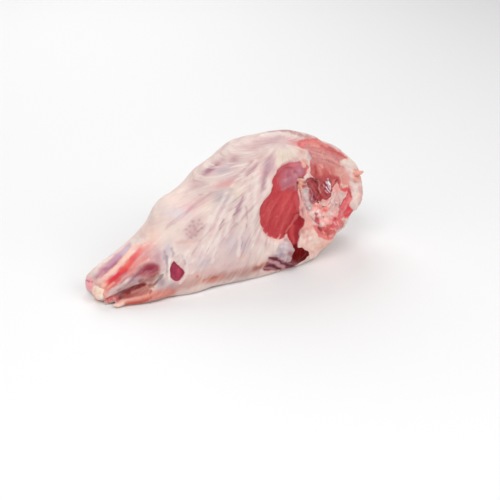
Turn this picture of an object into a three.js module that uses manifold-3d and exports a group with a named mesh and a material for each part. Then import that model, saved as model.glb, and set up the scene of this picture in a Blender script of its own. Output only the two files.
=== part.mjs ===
// A raw leg of lamb with its bone in, lying on its side as a butcher lays it out.
// The shank points along -X, the broad rump end along +X, the cut inner side of the thigh faces -Y,
// and +Z is up. Sizes are in millimetres. Places are measured from the tip of the shank and the
// surface under the leg, and the finished leg is then moved so that its origin is mid-base.
import * as THREE from "three";
import { mergeVertices } from "three/addons/utils/BufferGeometryUtils.js";
import Module from "manifold-3d";

const V = (x, y, z) => new THREE.Vector3(x, y, z);

// Driving dimensions of the whole leg
const BLEND = 22; // how softly one muscle runs into the next
const DEPTH_SHARE = 0.75; // how deep the rolls of muscle are for their height
const GAP = 0.3; // room between a bone and the meat round it

// The muscles, as tapering rolls from one end to the other
const rolls = {
  shank: { from: V(6, 25.6, 13), to: V(64, 34, 20), thick: [12, 20] },
  shin: { from: V(64, 34, 20), to: V(120, 46, 45), thick: [20, 46] },
  lowerThigh: { from: V(120, 46, 45), to: V(205, 54, 70), thick: [46, 70] },
  upperThigh: { from: V(205, 54, 70), to: V(238, 60, 70), thick: [70, 74] },
  extensor: { from: V(1, 38, 9), to: V(78, 50, 38), thick: [8, 18] },
  flexor: { from: V(10, 10, 8), to: V(110, 18, 26), thick: [8, 28] },
  heelCord: { from: V(64, 0, 10), to: V(112, 8, 14), thick: [11, 20] },
};

// The rounded masses of the calf, hamstring and rump
const masses = {
  kneecap: { centre: V(175, 58, 68), radii: V(60, 37, 46) },
  calf: { centre: V(112, 34, 14), radii: V(90, 43, 34) },
  hamstring: { centre: V(190, 42, 24), radii: V(110, 52, 44) },
  insideRound: { centre: V(243, 40, 54), radii: V(78, 44, 54) },
  rump: { centre: V(268, 57, 62), radii: V(75, 54, 64) },
};

// The two cuts that part the leg from the carcass: each passes through a point, square to a
// direction, and its edge is rounded over
const cuts = [
  { name: "shank", point: V(6, 34, 16), facing: V(-0.9, -0.43, 0.05).normalize(), edge: 5 },
  { name: "rump", point: V(262, 0, 66), facing: V(0.33, -0.87, 0.37).normalize(), edge: 9 },
];

// Windows trimmed through the fat on the near side, as ovals seen from the front, x then z:
// two lobes of the big round muscle, and a small one on the calf
const windows = [
  { centre: [212, 67], radii: [25, 26], tilt: 0.3 },
  { centre: [226, 97], radii: [19, 24], tilt: -0.5 },
  { centre: [93, 31], radii: [9, 10], tilt: 0 },
];
const WINDOW_DEPTH = 2; // how thick the trimmed fat is

// The hollow beside the hip bone where the deep muscle shows, and folds pressed into the near side
const deepHollow = { centre: [270, 88], radii: V(20, 8, 16) };
const creases = [
  { line: [[60, 16], [70, 21], [80, 28]], radii: [1.5, 3, 1.5] },
  { line: [[28, 20], [48, 29], [66, 35]], radii: [1.2, 2, 1.2] },
  { line: [[28, 12], [48, 18], [66, 23]], radii: [1.2, 2, 1.2] },
];

// The shin bone, from the knob at the sawn end up to the knee
const shankBone = {
  points: [V(15, 17.5, 11.3), V(26, 22, 14.5), V(45, 27, 21), V(80, 36, 35), V(108, 44, 45), V(124, 48, 50)],
  radii: [10.5, 8, 7.5, 8, 12, 15],
};

// The cut hip bone, which hooks round the deep muscle and is sawn off a little proud of the meat
const hipBone = {
  line: [[246, 100], [251, 84], [257, 67], [270, 57], [284, 61], [290, 72]],
  radii: [6, 8, 10.5, 12, 10, 6],
};
const HIP_BONE_SUNK = 0.6; // how deep its middle lies, as a share of its thickness
const HIP_BONE_PROUD = 1.2;

// The loose fold of fat and heel skin that trails along the underside of the shank
const heelFold = {
  points: [V(29, 0, 5.2), V(44, -2.5, 6.4), V(64, -3.5, 7.6), V(88, 2, 8.6), V(116, 12, 9)],
  radii: [5, 6.2, 7.4, 8.4, 8.6],
};
const HEEL_FOLD_SPREAD = 1.25; // how wide the fold is for its thickness

// How finely the skin is divided
const RINGS_TIP = 8;
const RINGS_BODY = 48;
const RINGS_RUMP = 19;
const SPOKES = 54;
const LONGEST_RAY = 200;
const HALVINGS = 26;

// The core line that every ray starts from
const core = new THREE.CatmullRomCurve3(
  [V(22, 27, 16), V(80, 40, 36), V(170, 56, 62), V(260, 68, 64)], false, "centripetal");
const MID_DEPTH = 40; // how far back the near side's middle plane lies, inside the meat all along

// Distance from p to a roll, which is thinner at one end than at the other
function rollDistance(p, roll) {
  const axis = roll.to.clone().sub(roll.from);
  const share = p.clone().sub(roll.from).dot(axis) / axis.lengthSq();
  const along = THREE.MathUtils.clamp(share, 0, 1);
  const off = p.clone().sub(roll.from).addScaledVector(axis, -along);
  off.y /= DEPTH_SHARE;
  return off.length() - THREE.MathUtils.lerp(roll.thick[0], roll.thick[1], along);
}

// Distance from p to an ellipsoid, close to true near its surface
function massDistance(p, mass) {
  const q = p.clone().sub(mass.centre).divide(mass.radii);
  const level = q.length();
  const slope = q.divide(mass.radii).length();
  return level < 1e-6 ? -Math.min(...mass.radii.toArray()) : (level * (level - 1)) / slope;
}

function smoothMin(a, b, k) {
  const h = Math.max(k - Math.abs(a - b), 0) / k;
  return Math.min(a, b) - (h * h * h * k) / 6;
}

// How far outside the meat p is, and negative inside it
function fleshDistance(p) {
  let d = Infinity;
  for (const roll of Object.values(rolls)) d = smoothMin(d, rollDistance(p, roll), BLEND);
  for (const mass of Object.values(masses)) d = smoothMin(d, massDistance(p, mass), BLEND);
  for (const { point, facing, edge } of cuts)
    d = -smoothMin(-d, -p.clone().sub(point).dot(facing), edge);
  return d;
}

// Where the surface is along a ray, by halving the step that crosses it
function surfaceAlong(origin, direction) {
  let inside = 0;
  let outside = LONGEST_RAY;
  for (let step = 0; step < HALVINGS; step++) {
    const middle = (inside + outside) / 2;
    const p = origin.clone().addScaledVector(direction, middle);
    if (fleshDistance(p) < 0 && p.z > 0) inside = middle;
    else outside = middle;
  }
  return origin.clone().addScaledVector(direction, inside);
}

// The point of the near side at x and z, seen from the front
function nearFace([x, z]) {
  return surfaceAlong(V(x, MID_DEPTH, z), V(0, -1, 0));
}

// A closed solid from rings of points, whose first and last rings are single points
function solidOfRings(rings) {
  const starts = [];
  let count = 0;
  for (const ring of rings) {
    starts.push(count);
    count += ring.length;
  }
  const at = (ring, spoke) => starts[ring] + (spoke % rings[ring].length);
  const spokes = rings[1].length;
  const faces = [];
  for (let ring = 0; ring < rings.length - 1; ring++)
    for (let spoke = 0; spoke < spokes; spoke++) {
      const a = at(ring, spoke);
      const b = at(ring + 1, spoke);
      const c = at(ring + 1, spoke + 1);
      const d = at(ring, spoke + 1);
      if (b !== c) faces.push(a, c, b);
      if (a !== d) faces.push(a, d, c);
    }
  const geometry = new THREE.BufferGeometry().setFromPoints(rings.flat());
  geometry.setIndex(faces);
  return geometry;
}

// The skin of the whole leg, or a layer sunk under it: rings round the core line, which fan out to
// a point at both ends
function skin(sunk = 0) {
  const last = RINGS_TIP + RINGS_BODY + RINGS_RUMP;
  const quarter = Math.PI / 2;
  const rings = [];
  for (let ring = 0; ring <= last; ring++) {
    const past = ring - RINGS_TIP - RINGS_BODY;
    const origin = core.getPointAt(THREE.MathUtils.clamp((ring - RINGS_TIP) / RINGS_BODY, 0, 1));
    let lean = quarter;
    if (ring < RINGS_TIP) lean = (ring / RINGS_TIP) * quarter;
    if (past > 0) lean = quarter + (past / RINGS_RUMP) * quarter;
    const spokes = ring === 0 || ring === last ? 1 : SPOKES;
    const points = [];
    for (let spoke = 0; spoke < spokes; spoke++) {
      const turn = (spoke / SPOKES) * 2 * Math.PI;
      const direction = V(-Math.cos(lean), Math.sin(lean) * Math.cos(turn), Math.sin(lean) * Math.sin(turn));
      points.push(surfaceAlong(origin, direction).addScaledVector(direction, -sunk));
    }
    rings.push(points);
  }
  return solidOfRings(rings);
}

// A round-ended bar along a smooth line, grown all over by grow and spread sideways by spread
function bar({ points, radii }, sides, steps, { grow = 0, spread = 1 } = {}) {
  const capSteps = 4;
  const line = new THREE.CatmullRomCurve3(points, false, "centripetal");
  const widths = new THREE.SplineCurve(radii.map((radius, i) => new THREE.Vector2(i, radius)));
  const rings = [];
  for (let ring = 0; ring <= steps + 2 * capSteps; ring++) {
    const t = THREE.MathUtils.clamp((ring - capSteps) / steps, 0, 1);
    const near = Math.max(capSteps - ring, 0) / capSteps;
    const far = Math.max(ring - capSteps - steps, 0) / capSteps;
    const radius = widths.getPoint(t).y + grow;
    const angle = ((far - near) * Math.PI) / 2;
    const tangent = line.getTangent(t);
    const side = V(0, 0, 1).cross(tangent).normalize();
    const up = tangent.clone().cross(side);
    const centre = line.getPoint(t).addScaledVector(tangent, radius * Math.sin(angle));
    const pole = near === 1 || far === 1;
    const ringPoints = [];
    for (let i = 0; i < (pole ? 1 : sides); i++) {
      const turn = (i / sides) * 2 * Math.PI;
      const reach = pole ? 0 : radius * Math.cos(angle);
      const point = centre.clone().addScaledVector(side, reach * spread * Math.cos(turn));
      ringPoints.push(point.addScaledVector(up, reach * Math.sin(turn)));
    }
    rings.push(ringPoints);
  }
  return solidOfRings(rings);
}

const wasm = await Module();
wasm.setup();

// Between a geometry and the closed solid that can be joined and cut
function solidFrom(geometry) {
  geometry.deleteAttribute("normal");
  geometry.deleteAttribute("uv");
  const merged = mergeVertices(geometry);
  return new wasm.Manifold(new wasm.Mesh({
    numProp: 3,
    vertProperties: new Float32Array(merged.attributes.position.array),
    triVerts: new Uint32Array(merged.index.array),
  }));
}

function geometryFrom(solid) {
  const { vertProperties, triVerts } = solid.getMesh();
  const geometry = new THREE.BufferGeometry();
  geometry.setAttribute("position", new THREE.BufferAttribute(vertProperties, 3));
  geometry.setIndex(new THREE.BufferAttribute(triVerts, 1));
  geometry.computeVertexNormals();
  return geometry;
}

const BONE_DIVISION = [14, 20];
const HIP_DIVISION = [16, 14];
const FOLD_DIVISION = [14, 16];
const CREASE_DIVISION = [8, 8];
const OVAL_STEPS = 14;
const PRISM_FRONT = 30;
const PRISM_DEPTH = 60;

// An upright oval prism that reaches into the near side
function ovalPrism({ centre, radii, tilt }) {
  const oval = new THREE.Shape();
  oval.absellipse(centre[0], centre[1], radii[0], radii[1], 0, 2 * Math.PI, false, tilt);
  const options = { depth: PRISM_DEPTH, bevelEnabled: false, curveSegments: OVAL_STEPS };
  return new THREE.ExtrudeGeometry(oval, options).rotateX(Math.PI / 2).translate(0, PRISM_FRONT, 0);
}

// The hip bone's middle line, laid under the near side at a share of its own thickness
const hipBar = {
  points: hipBone.line.map((place, i) => nearFace(place).add(V(0, HIP_BONE_SUNK * hipBone.radii[i], 0))),
  radii: hipBone.radii,
};

// The meat: the skin with its heel fold, trimmed and creased, and hollowed for the two bones
function meatGeometry() {
  const fold = bar(heelFold, ...FOLD_DIVISION, { spread: HEEL_FOLD_SPREAD });
  const underFat = solidFrom(skin(WINDOW_DEPTH));
  let meat = solidFrom(skin()).add(solidFrom(fold));
  for (const window of windows)
    meat = meat.subtract(solidFrom(ovalPrism(window)).subtract(underFat));
  for (const { line, radii } of creases) {
    const crease = bar({ points: line.map(nearFace), radii }, ...CREASE_DIVISION);
    meat = meat.subtract(solidFrom(crease));
  }
  const { centre, radii } = deepHollow;
  const hollow = new THREE.SphereGeometry(1, 20, 14).scale(...radii.toArray());
  hollow.translate(...nearFace(centre).toArray());
  meat = meat.subtract(solidFrom(hollow));
  meat = meat.subtract(solidFrom(bar(shankBone, ...BONE_DIVISION, { grow: GAP })));
  meat = meat.subtract(solidFrom(bar(hipBar, ...HIP_DIVISION, { grow: GAP })));
  return geometryFrom(meat);
}

function hipBoneGeometry() {
  return geometryFrom(solidFrom(bar(hipBar, ...HIP_DIVISION)).intersect(solidFrom(skin(-HIP_BONE_PROUD))));
}

const leg = new THREE.Group();

function addPiece(name, geometry, look) {
  const piece = new THREE.Mesh(geometry, new THREE.MeshStandardMaterial(look));
  piece.name = name;
  leg.add(piece);
}

addPiece("meat", meatGeometry(), { color: 0xdcb6ae, roughness: 0.45 });
addPiece("shank_bone", bar(shankBone, ...BONE_DIVISION), { color: 0xeee0cc, roughness: 0.5 });
addPiece("hip_bone", hipBoneGeometry(), { color: 0xe6d6cc, roughness: 0.5 });

// The origin is in the middle of the leg's base
const bounds = new THREE.Box3().setFromObject(leg);
const middle = bounds.getCenter(V(0, 0, 0));
leg.position.set(-middle.x, -middle.y, -bounds.min.z);

export default leg;
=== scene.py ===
# The looks of a raw leg of lamb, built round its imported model: the meat with its fat, skin and
# trimmed muscles, the shin bone and the hip bone. Metres, +Z up, the shank towards -X.
import math

import bpy
import numpy as np
from mathutils import Matrix, Vector


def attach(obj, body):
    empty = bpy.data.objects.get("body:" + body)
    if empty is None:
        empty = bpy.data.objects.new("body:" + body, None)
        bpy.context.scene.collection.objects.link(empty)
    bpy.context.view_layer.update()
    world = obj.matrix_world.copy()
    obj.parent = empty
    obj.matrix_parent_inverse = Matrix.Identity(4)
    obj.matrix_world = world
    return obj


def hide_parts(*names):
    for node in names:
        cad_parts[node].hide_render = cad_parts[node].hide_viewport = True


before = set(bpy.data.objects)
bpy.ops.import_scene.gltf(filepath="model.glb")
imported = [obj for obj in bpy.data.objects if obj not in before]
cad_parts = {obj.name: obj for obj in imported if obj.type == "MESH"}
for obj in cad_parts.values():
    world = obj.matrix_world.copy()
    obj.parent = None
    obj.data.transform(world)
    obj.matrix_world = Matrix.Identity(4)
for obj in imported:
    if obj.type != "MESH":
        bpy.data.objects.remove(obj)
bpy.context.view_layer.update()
MM = 0.001

# The camera stands where the leg was seen from: above the shank's side, looking down along the
# leg's inner face. Its values also place what is painted and carved, by the picture's pixels.
CAMERA_PLACE = Vector((-444.0, -1130.6, 650.0)) * MM
CAMERA_TURN = math.radians(22.7)
CAMERA_DIP = math.radians(27.7)
PICTURE_SIDE = 500
FOCAL_PIXELS = 1200
SENSOR_WIDTH = 36.0

look = Vector((math.sin(CAMERA_TURN) * math.cos(CAMERA_DIP),
               math.cos(CAMERA_TURN) * math.cos(CAMERA_DIP), -math.sin(CAMERA_DIP)))
camera_right = Vector((math.cos(CAMERA_TURN), -math.sin(CAMERA_TURN), 0))
camera_up = camera_right.cross(look)

camera_data = bpy.data.cameras.new("camera")
camera_data.sensor_width = SENSOR_WIDTH
camera_data.lens = SENSOR_WIDTH * FOCAL_PIXELS / PICTURE_SIDE
camera = bpy.data.objects.new("camera", camera_data)
camera.location = CAMERA_PLACE
camera.rotation_euler = look.to_track_quat("-Z", "Y").to_euler()
bpy.context.scene.collection.objects.link(camera)
bpy.context.scene.camera = camera


def picture_place(points):
    """The picture's pixels, from its top left, that points of the leg are seen at."""
    away = points - np.array(CAMERA_PLACE)
    depth = away @ np.array(look)
    across = PICTURE_SIDE / 2 + FOCAL_PIXELS * (away @ np.array(camera_right)) / depth
    down = PICTURE_SIDE / 2 - FOCAL_PIXELS * (away @ np.array(camera_up)) / depth
    return np.stack([across, down], -1)


# The meat is one soft mass of muscles under a thin skin of fat, trimmed open over the thick end.
# It starts as a fine even skin over the solid, with a few lobes added. That skin is then carved and
# painted, with strokes that are placed by the picture's pixels.
GRAIN = 1.56 * MM  # the size of the skin's faces
SOFTENING = 4  # how often the skin is smoothed
FAR_SIDE_SHARE = 0.6  # the share of the far side's faces that stays
# Where the skin is finer: left, right, top and bottom in the picture
CUT_END = (274, 356, 142, 268)
SHANK_MUSCLES = (82, 186, 246, 310)

meat = bpy.data.objects.new("lamb_meat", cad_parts["meat"].data.copy())
bpy.context.scene.collection.objects.link(meat)
bpy.context.view_layer.update()


def choose(piece):
    """Makes a piece the only selected one, so that operators work on it alone."""
    bpy.ops.object.select_all(action="DESELECT")
    piece.select_set(True)
    bpy.context.view_layer.objects.active = piece


def add_lobe(pixel, radii, push=(0, 0), angle=0.0):
    """Adds a rounded lobe to the meat, where a pixel's line of sight meets it.

    Its radii and push are in mm. The push goes right and up in the picture, in which the lobe leans.
    """
    across = (pixel[0] - PICTURE_SIDE / 2) / FOCAL_PIXELS
    down = (pixel[1] - PICTURE_SIDE / 2) / FOCAL_PIXELS
    sight = (look + camera_right * across - camera_up * down).normalized()
    _, spot, _, _ = meat.ray_cast(CAMERA_PLACE, sight)
    spot = spot + (camera_right * push[0] + camera_up * push[1]) * MM
    along = camera_right * math.cos(angle) + camera_up * math.sin(angle)
    side = look.cross(along).normalized()
    turn = Matrix((along, side, along.cross(side))).transposed().to_euler()
    bpy.ops.object.select_all(action="DESELECT")
    bpy.ops.mesh.primitive_ico_sphere_add(subdivisions=3, radius=1, location=spot, rotation=turn)
    lobe = bpy.context.active_object
    lobe.scale = Vector(radii) * MM
    bpy.ops.object.transform_apply(location=True, rotation=True, scale=True)
    meat.select_set(True)
    bpy.context.view_layer.objects.active = meat
    bpy.ops.object.join()


# Loose tags of fat and flesh: one stands out past the rump's edge, others lie on the cut face
add_lobe((351, 174), (8.0, 3.2, 2.6), push=(8.0, 1.5), angle=0.2)
add_lobe((351, 178), (6.0, 2.6, 2.4), push=(6.0, -1.5), angle=-0.5)
add_lobe((303, 163), (2.4, 2.8, 1.6))
add_lobe((334, 231), (4.4, 2.0, 2.0), angle=0.6)
add_lobe((341, 225), (3.6, 2.0, 1.8), angle=0.3)
# Gristle that holds the sawn end of the bone: the ends of the tendons round its knob
add_lobe((107, 284), (6.5, 3.4, 4.0), push=(-3.0, -0.5), angle=0.8)
add_lobe((109, 292), (6.0, 3.4, 3.6), push=(-2.5, -0.5), angle=0.7)
add_lobe((99, 280), (4.4, 3.6, 3.6), push=(0.0, -2.0), angle=0.6)
add_lobe((90, 287), (3.6, 3.2, 3.4), push=(3.5, -2.5), angle=0.3)
add_lobe((90, 287), (3.4, 3.2, 4.2), push=(5.2, -6.8), angle=-0.9)
add_lobe((112, 296), (6.0, 3.0, 3.6), push=(-4.0, -1.0), angle=0.4)
add_lobe((114, 299), (7.0, 2.8, 3.2), push=(-5.0, -2.0), angle=0.35)
add_lobe((122, 303.4), (6.5, 3.0, 3.6), push=(-3.6, -0.8), angle=0.2)


def finish_skin(piece, grain, softening):
    """Merges a solid's loose triangles and gives it an even, softened skin of small faces."""
    choose(piece)
    bpy.ops.object.mode_set(mode="EDIT")
    bpy.ops.mesh.select_all(action="SELECT")
    bpy.ops.mesh.remove_doubles(threshold=0.001 * MM)
    bpy.ops.object.mode_set(mode="OBJECT")
    remesh = piece.modifiers.new("skin", "REMESH")
    remesh.mode = "VOXEL"
    remesh.voxel_size = grain
    bpy.ops.object.modifier_apply(modifier=remesh.name)
    smooth = piece.modifiers.new("soften", "SMOOTH")
    smooth.factor = 0.5
    smooth.iterations = softening
    bpy.ops.object.modifier_apply(modifier=smooth.name)
    bpy.ops.object.shade_smooth()


finish_skin(meat, GRAIN, SOFTENING)


def three_of(items, what):
    """Three numbers of each point or face of a mesh, such as its place or its normal."""
    flat = np.zeros(len(items) * 3)
    items.foreach_get(what, flat)
    return flat.reshape(-1, 3)


def points_of(piece):
    return three_of(piece.data.vertices, "co")


def normals_of(piece):
    return three_of(piece.data.vertices, "normal")


def faces_camera(places, normals):
    """Above 0 where a place's surface is turned to the camera."""
    return ((np.array(CAMERA_PLACE) - places) * normals).sum(1)


def in_window(places, window):
    """Which places in the picture lie within a window's left, right, top and bottom."""
    across, down = places.T
    return (across > window[0]) & (across < window[1]) & (down > window[2]) & (down < window[3])


def move_points(piece, points):
    piece.data.vertices.foreach_set("co", points.ravel())
    piece.data.update()


# The far side is left with fewer faces. The cut end and the shank's muscles get finer ones.
far_side = meat.vertex_groups.new(name="far side")
turned_away = faces_camera(points_of(meat), normals_of(meat)) < -0.1
far_side.add([int(i) for i in np.flatnonzero(turned_away)], 1.0, "REPLACE")
choose(meat)
thinning = meat.modifiers.new("thinning", "DECIMATE")
thinning.ratio = FAR_SIDE_SHARE
thinning.vertex_group = far_side.name
bpy.ops.object.modifier_apply(modifier=thinning.name)
meat.vertex_groups.clear()
middles = three_of(meat.data.polygons, "center")
seen = faces_camera(middles, three_of(meat.data.polygons, "normal")) > 0
finer = in_window(picture_place(middles), CUT_END) | in_window(picture_place(middles), SHANK_MUSCLES)
meat.data.polygons.foreach_set("select", finer & seen)
bpy.ops.object.mode_set(mode="EDIT")
bpy.ops.mesh.select_mode(type="FACE")
bpy.ops.mesh.subdivide(number_cuts=1)
bpy.ops.object.mode_set(mode="OBJECT")


def draw_in(pixel, radii, push):
    """Pushes the meat round a pixel by mm across the picture, as soft meat is pushed by hand."""
    points = points_of(meat)
    away = (picture_place(points) - np.array(pixel, float)) / np.array(radii, float)
    soft = np.exp(-(away ** 2).sum(1))
    step = np.array(camera_right * push[0] + camera_up * push[1]) * MM
    move_points(meat, points + soft[:, None] * step)


# The rump's low edge runs in more flatly than the solid's
draw_in((358, 220), (11, 14), (-8.5, 1.5))
draw_in((344, 238), (13, 10), (-4.0, 3.6))
draw_in((327, 252), (12, 8), (-3.0, 3.4))


def ease(value, low, high):
    """A smooth step from 0 at low to 1 at high."""
    t = np.clip((value - low) / (high - low), 0, 1)
    return t * t * (3 - 2 * t)


def ripple(points, size, seed, waves=14):
    """Soft random bumps between about -1 and 1, of about that size."""
    chance = np.random.default_rng(seed)
    directions = chance.normal(size=(waves, points.shape[1]))
    directions /= np.linalg.norm(directions, axis=1, keepdims=True)
    pitch = 2 * math.pi / (size * chance.uniform(0.6, 1.7, waves))
    phase = chance.uniform(0, 2 * math.pi, waves)
    return np.sin(points @ directions.T * pitch + phase).sum(1) / math.sqrt(waves)


def rounded(outline, turns=2):
    """Cuts the corners of a closed outline, so that it runs smoothly."""
    line = np.array(outline, float)
    for _ in range(turns):
        after = np.roll(line, -1, axis=0)
        line = np.stack([line * 0.75 + after * 0.25, line * 0.25 + after * 0.75], 1).reshape(-1, 2)
    return line


def distance_to_line(places, line):
    """How far each place is from a line of points, and how far along the line its nearest point is."""
    best = np.full(len(places), np.inf)
    share = np.zeros(len(places))
    for i, (a, b) in enumerate(zip(line[:-1], line[1:])):
        run = b - a
        along = np.clip((places - a) @ run / max(run @ run, 1e-9), 0, 1)
        gap = np.linalg.norm(places - a - along[:, None] * run, axis=1)
        nearer = gap < best
        best[nearer] = gap[nearer]
        share[nearer] = (i + along[nearer]) / (len(line) - 1)
    return best, share


def inside_outline(places, outline):
    """Signed distance into a closed outline, in pixels: above 0 inside."""
    line = rounded(outline)
    closed = np.vstack([line, line[:1]])
    gap, _ = distance_to_line(places, closed)
    inside = np.zeros(len(places), bool)
    x, y = places.T
    for (ax, ay), (bx, by) in zip(closed[:-1], closed[1:]):
        if ay != by:
            inside ^= ((ay > y) != (by > y)) & (x < (bx - ax) * (y - ay) / (by - ay) + ax)
    return np.where(inside, gap, -gap)


def linear(code):
    """A colour code, as three numbers of light."""
    parts = np.array([int(code[i:i + 2], 16) for i in (0, 2, 4)]) / 255
    return np.where(parts <= 0.04045, parts / 12.92, ((parts + 0.055) / 1.055) ** 2.4)


class Skin:
    """A piece's points, with what is laid on them by the strokes below.

    fat and lean are the colours of the fat and of the muscle under it, bare is how far the muscle is
    bared, firm how far a stroke hides the grain, thin how thin the membrane is, and rise is in mm.
    """

    def __init__(self, piece, fat, lean):
        self.points = points_of(piece)
        self.normals = normals_of(piece)
        wander = [0.45 * ripple(self.points, 11 * MM, seed) + 0.12 * ripple(self.points, 4 * MM, seed + 2)
                  for seed in (31, 32)]
        self.places = picture_place(self.points) + np.stack(wander, -1)
        toward = np.array(CAMERA_PLACE) - self.points
        toward /= np.linalg.norm(toward, axis=1, keepdims=True)
        self.shown = ease((self.normals * toward).sum(1), 0.0, 0.16)
        self.fat = np.tile(linear(fat), (len(self.points), 1))
        self.lean = np.tile(linear(lean), (len(self.points), 1))
        self.bare = np.zeros(len(self.points))
        self.wet = np.full(len(self.points), 0.12)
        self.rise = np.zeros(len(self.points))
        self.firm = np.zeros(len(self.points))
        self.thin = np.zeros(len(self.points))

    def near(self, line, margin):
        """The shown points whose places are near a line of pixels, and their places."""
        low, high = np.min(line, axis=0) - margin, np.max(line, axis=0) + margin
        within = (self.places > low).all(1) & (self.places < high).all(1)
        chosen = np.flatnonzero(within & (self.shown > 0))
        return chosen, self.places[chosen]

    def lay(self, chosen, mask, fat=None, lean=None, bare=None, rise=0.0, wet=None):
        """Lays colours, muscle, relief in mm and wetness on points, as strongly as the mask says."""
        mask = mask * self.shown[chosen]
        if fat:
            self.firm[chosen] = np.maximum(self.firm[chosen], mask)
        for layer, colour in ((self.fat, fat), (self.lean, lean)):
            if colour:
                layer[chosen] += (linear(colour) - layer[chosen]) * mask[:, None]
        if bare is not None:
            self.bare[chosen] += (bare - self.bare[chosen]) * mask
        if wet is not None:
            self.wet[chosen] += (wet - self.wet[chosen]) * mask
        self.rise[chosen] += rise * mask


FELL = "e4cec7"
RED_MUSCLE = "c0494d"
skin = Skin(meat, FELL, RED_MUSCLE)


# The strokes. Their places, radii, widths and edges are in the picture's pixels, and rise is in mm.
def cloud_round(centre, radii, angle):
    """The points round a pixel, and a soft oval mask over them, turned anticlockwise by degrees."""
    chosen, places = skin.near([centre], 2.2 * max(radii))
    away = places - np.array(centre, float)
    c, s = math.cos(math.radians(angle)), math.sin(math.radians(angle))
    turned = np.stack([away[:, 0] * c - away[:, 1] * s, away[:, 0] * s + away[:, 1] * c], -1)
    return chosen, np.exp(-((turned / np.array(radii, float)) ** 2).sum(1))


def blush(centre, radii, colour, strength=0.7, angle=0.0, rise=0.0):
    """A soft cloud of colour in the fat, round a pixel."""
    chosen, mask = cloud_round(centre, radii, angle)
    mask = mask * skin.shown[chosen]
    skin.fat[chosen] += (linear(colour) - skin.fat[chosen]) * (mask * strength)[:, None]
    skin.rise[chosen] += rise * mask


def thin_out(where, size, share, angle=0.0):
    """Thins the membrane round a pixel, or along a line of pixels, so that muscle shows through."""
    if isinstance(where, list):
        chosen, places = skin.near(where, 2.4 * size)
        mask = np.exp(-((distance_to_line(places, np.array(where, float))[0] / size) ** 2))
    else:
        chosen, mask = cloud_round(where, size, angle)
    skin.thin[chosen] += share * mask * skin.shown[chosen]


def stain(outline, colour, edge=2.0, strength=1.0, rise=0.0, wet=None):
    """Tints the fat inside an outline, with a soft edge."""
    chosen, places = skin.near(outline, edge + 1)
    mask = ease(inside_outline(places, outline), -edge, edge)
    skin.lay(chosen, mask * strength, fat=colour, wet=wet)
    skin.rise[chosen] += rise * mask * skin.shown[chosen]


def trim(outline, colour, edge=1.6, rise=0.0, wet=0.3, spread=4.0, lip=0.0):
    """Bares the muscle inside an outline. Its colour reaches past the edge, which the finish frays."""
    chosen, places = skin.near(outline, spread + edge + 4)
    deep = inside_outline(places, outline)
    skin.lay(chosen, ease(deep, -spread - edge, -spread + edge), lean=colour)
    skin.lay(chosen, ease(deep, -edge, edge), bare=1.0, rise=rise, wet=wet)
    skin.lay(chosen, np.exp(-(((deep + 2.4) / 1.8) ** 2)), rise=lip)


def tint(outline, colour, edge=1.6, strength=1.0, rise=0.0, wet=None, veiled=0.0):
    """Changes the colour of bared muscle inside an outline. A veil over it hides its grain."""
    chosen, places = skin.near(outline, edge + 1)
    mask = ease(inside_outline(places, outline), -edge, edge)
    skin.firm[chosen] = np.maximum(skin.firm[chosen], veiled * mask)
    skin.lay(chosen, mask * strength, lean=colour, wet=wet)
    skin.rise[chosen] += rise * mask * skin.shown[chosen]


def cover(outline, colour, edge=1.4, rise=0.0, wet=None):
    """Leaves fat over the muscle inside an outline."""
    chosen, places = skin.near(outline, edge + 1)
    mask = ease(inside_outline(places, outline), -edge, edge)
    skin.lay(chosen, mask, fat=colour, bare=0.0, rise=rise, wet=wet)


def streak(line, width, colour, strength=0.9, rise=0.0, bare=None, wet=None):
    """Draws a soft stroke along a line of pixels. Two widths taper it from one end to the other."""
    start, end = width if isinstance(width, tuple) else (width, width)
    chosen, places = skin.near(line, 1.8 * max(start, end))
    gap, share = distance_to_line(places, np.array(line, float))
    mask = ease(gap / (start + (end - start) * share), 1.7, 0.4)
    skin.lay(chosen, mask * strength, fat=colour, lean=colour, bare=bare, wet=wet)
    skin.rise[chosen] += rise * mask * skin.shown[chosen]


# The skin membrane is uneven all over, and lies in faint folds that spread from the top of the rump
FOLD_POLE = Vector((63, 0, 140)) * MM
from_pole = skin.points - np.array(FOLD_POLE)
fold_turn = np.arctan2(from_pole[:, 0], -from_pole[:, 2])
fold_reach = np.hypot(from_pole[:, 0], from_pole[:, 2])
fold_place = np.stack([fold_turn * 0.11, fold_reach * 0.12, skin.points[:, 1] * 0.5], -1)
folds = ripple(fold_place, 6 * MM, 5) * ease(fold_reach, 15 * MM, 60 * MM)
off_floor = ease(skin.points[:, 2], 1 * MM, 12 * MM)
skin.rise += off_floor * (0.9 * ripple(skin.points, 38 * MM, 1) + 0.2 * ripple(skin.points, 9 * MM, 2))
skin.rise += off_floor * 0.4 * folds

# Where the membrane is thin, the muscle shows through it as lilac, rose and grey
for size, seed, low, colour, strength in (
        (46, 8, 0.4, "dba8a6", 0.4), (30, 9, 0.5, "bda2ac", 0.35),
        (34, 10, 0.5, "efdfd0", 0.5), (16, 12, 0.6, "d3b0b0", 0.4)):
    cloud = ease(ripple(skin.points * np.array([0.6, 1, 1]), size * MM, seed), low, low + 1.1)
    skin.fat += (linear(colour) - skin.fat) * (cloud * strength)[:, None]
skin.thin += 0.34 * ease(ripple(skin.points, 40 * MM, 14), 0.3, 1.6) * off_floor
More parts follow.
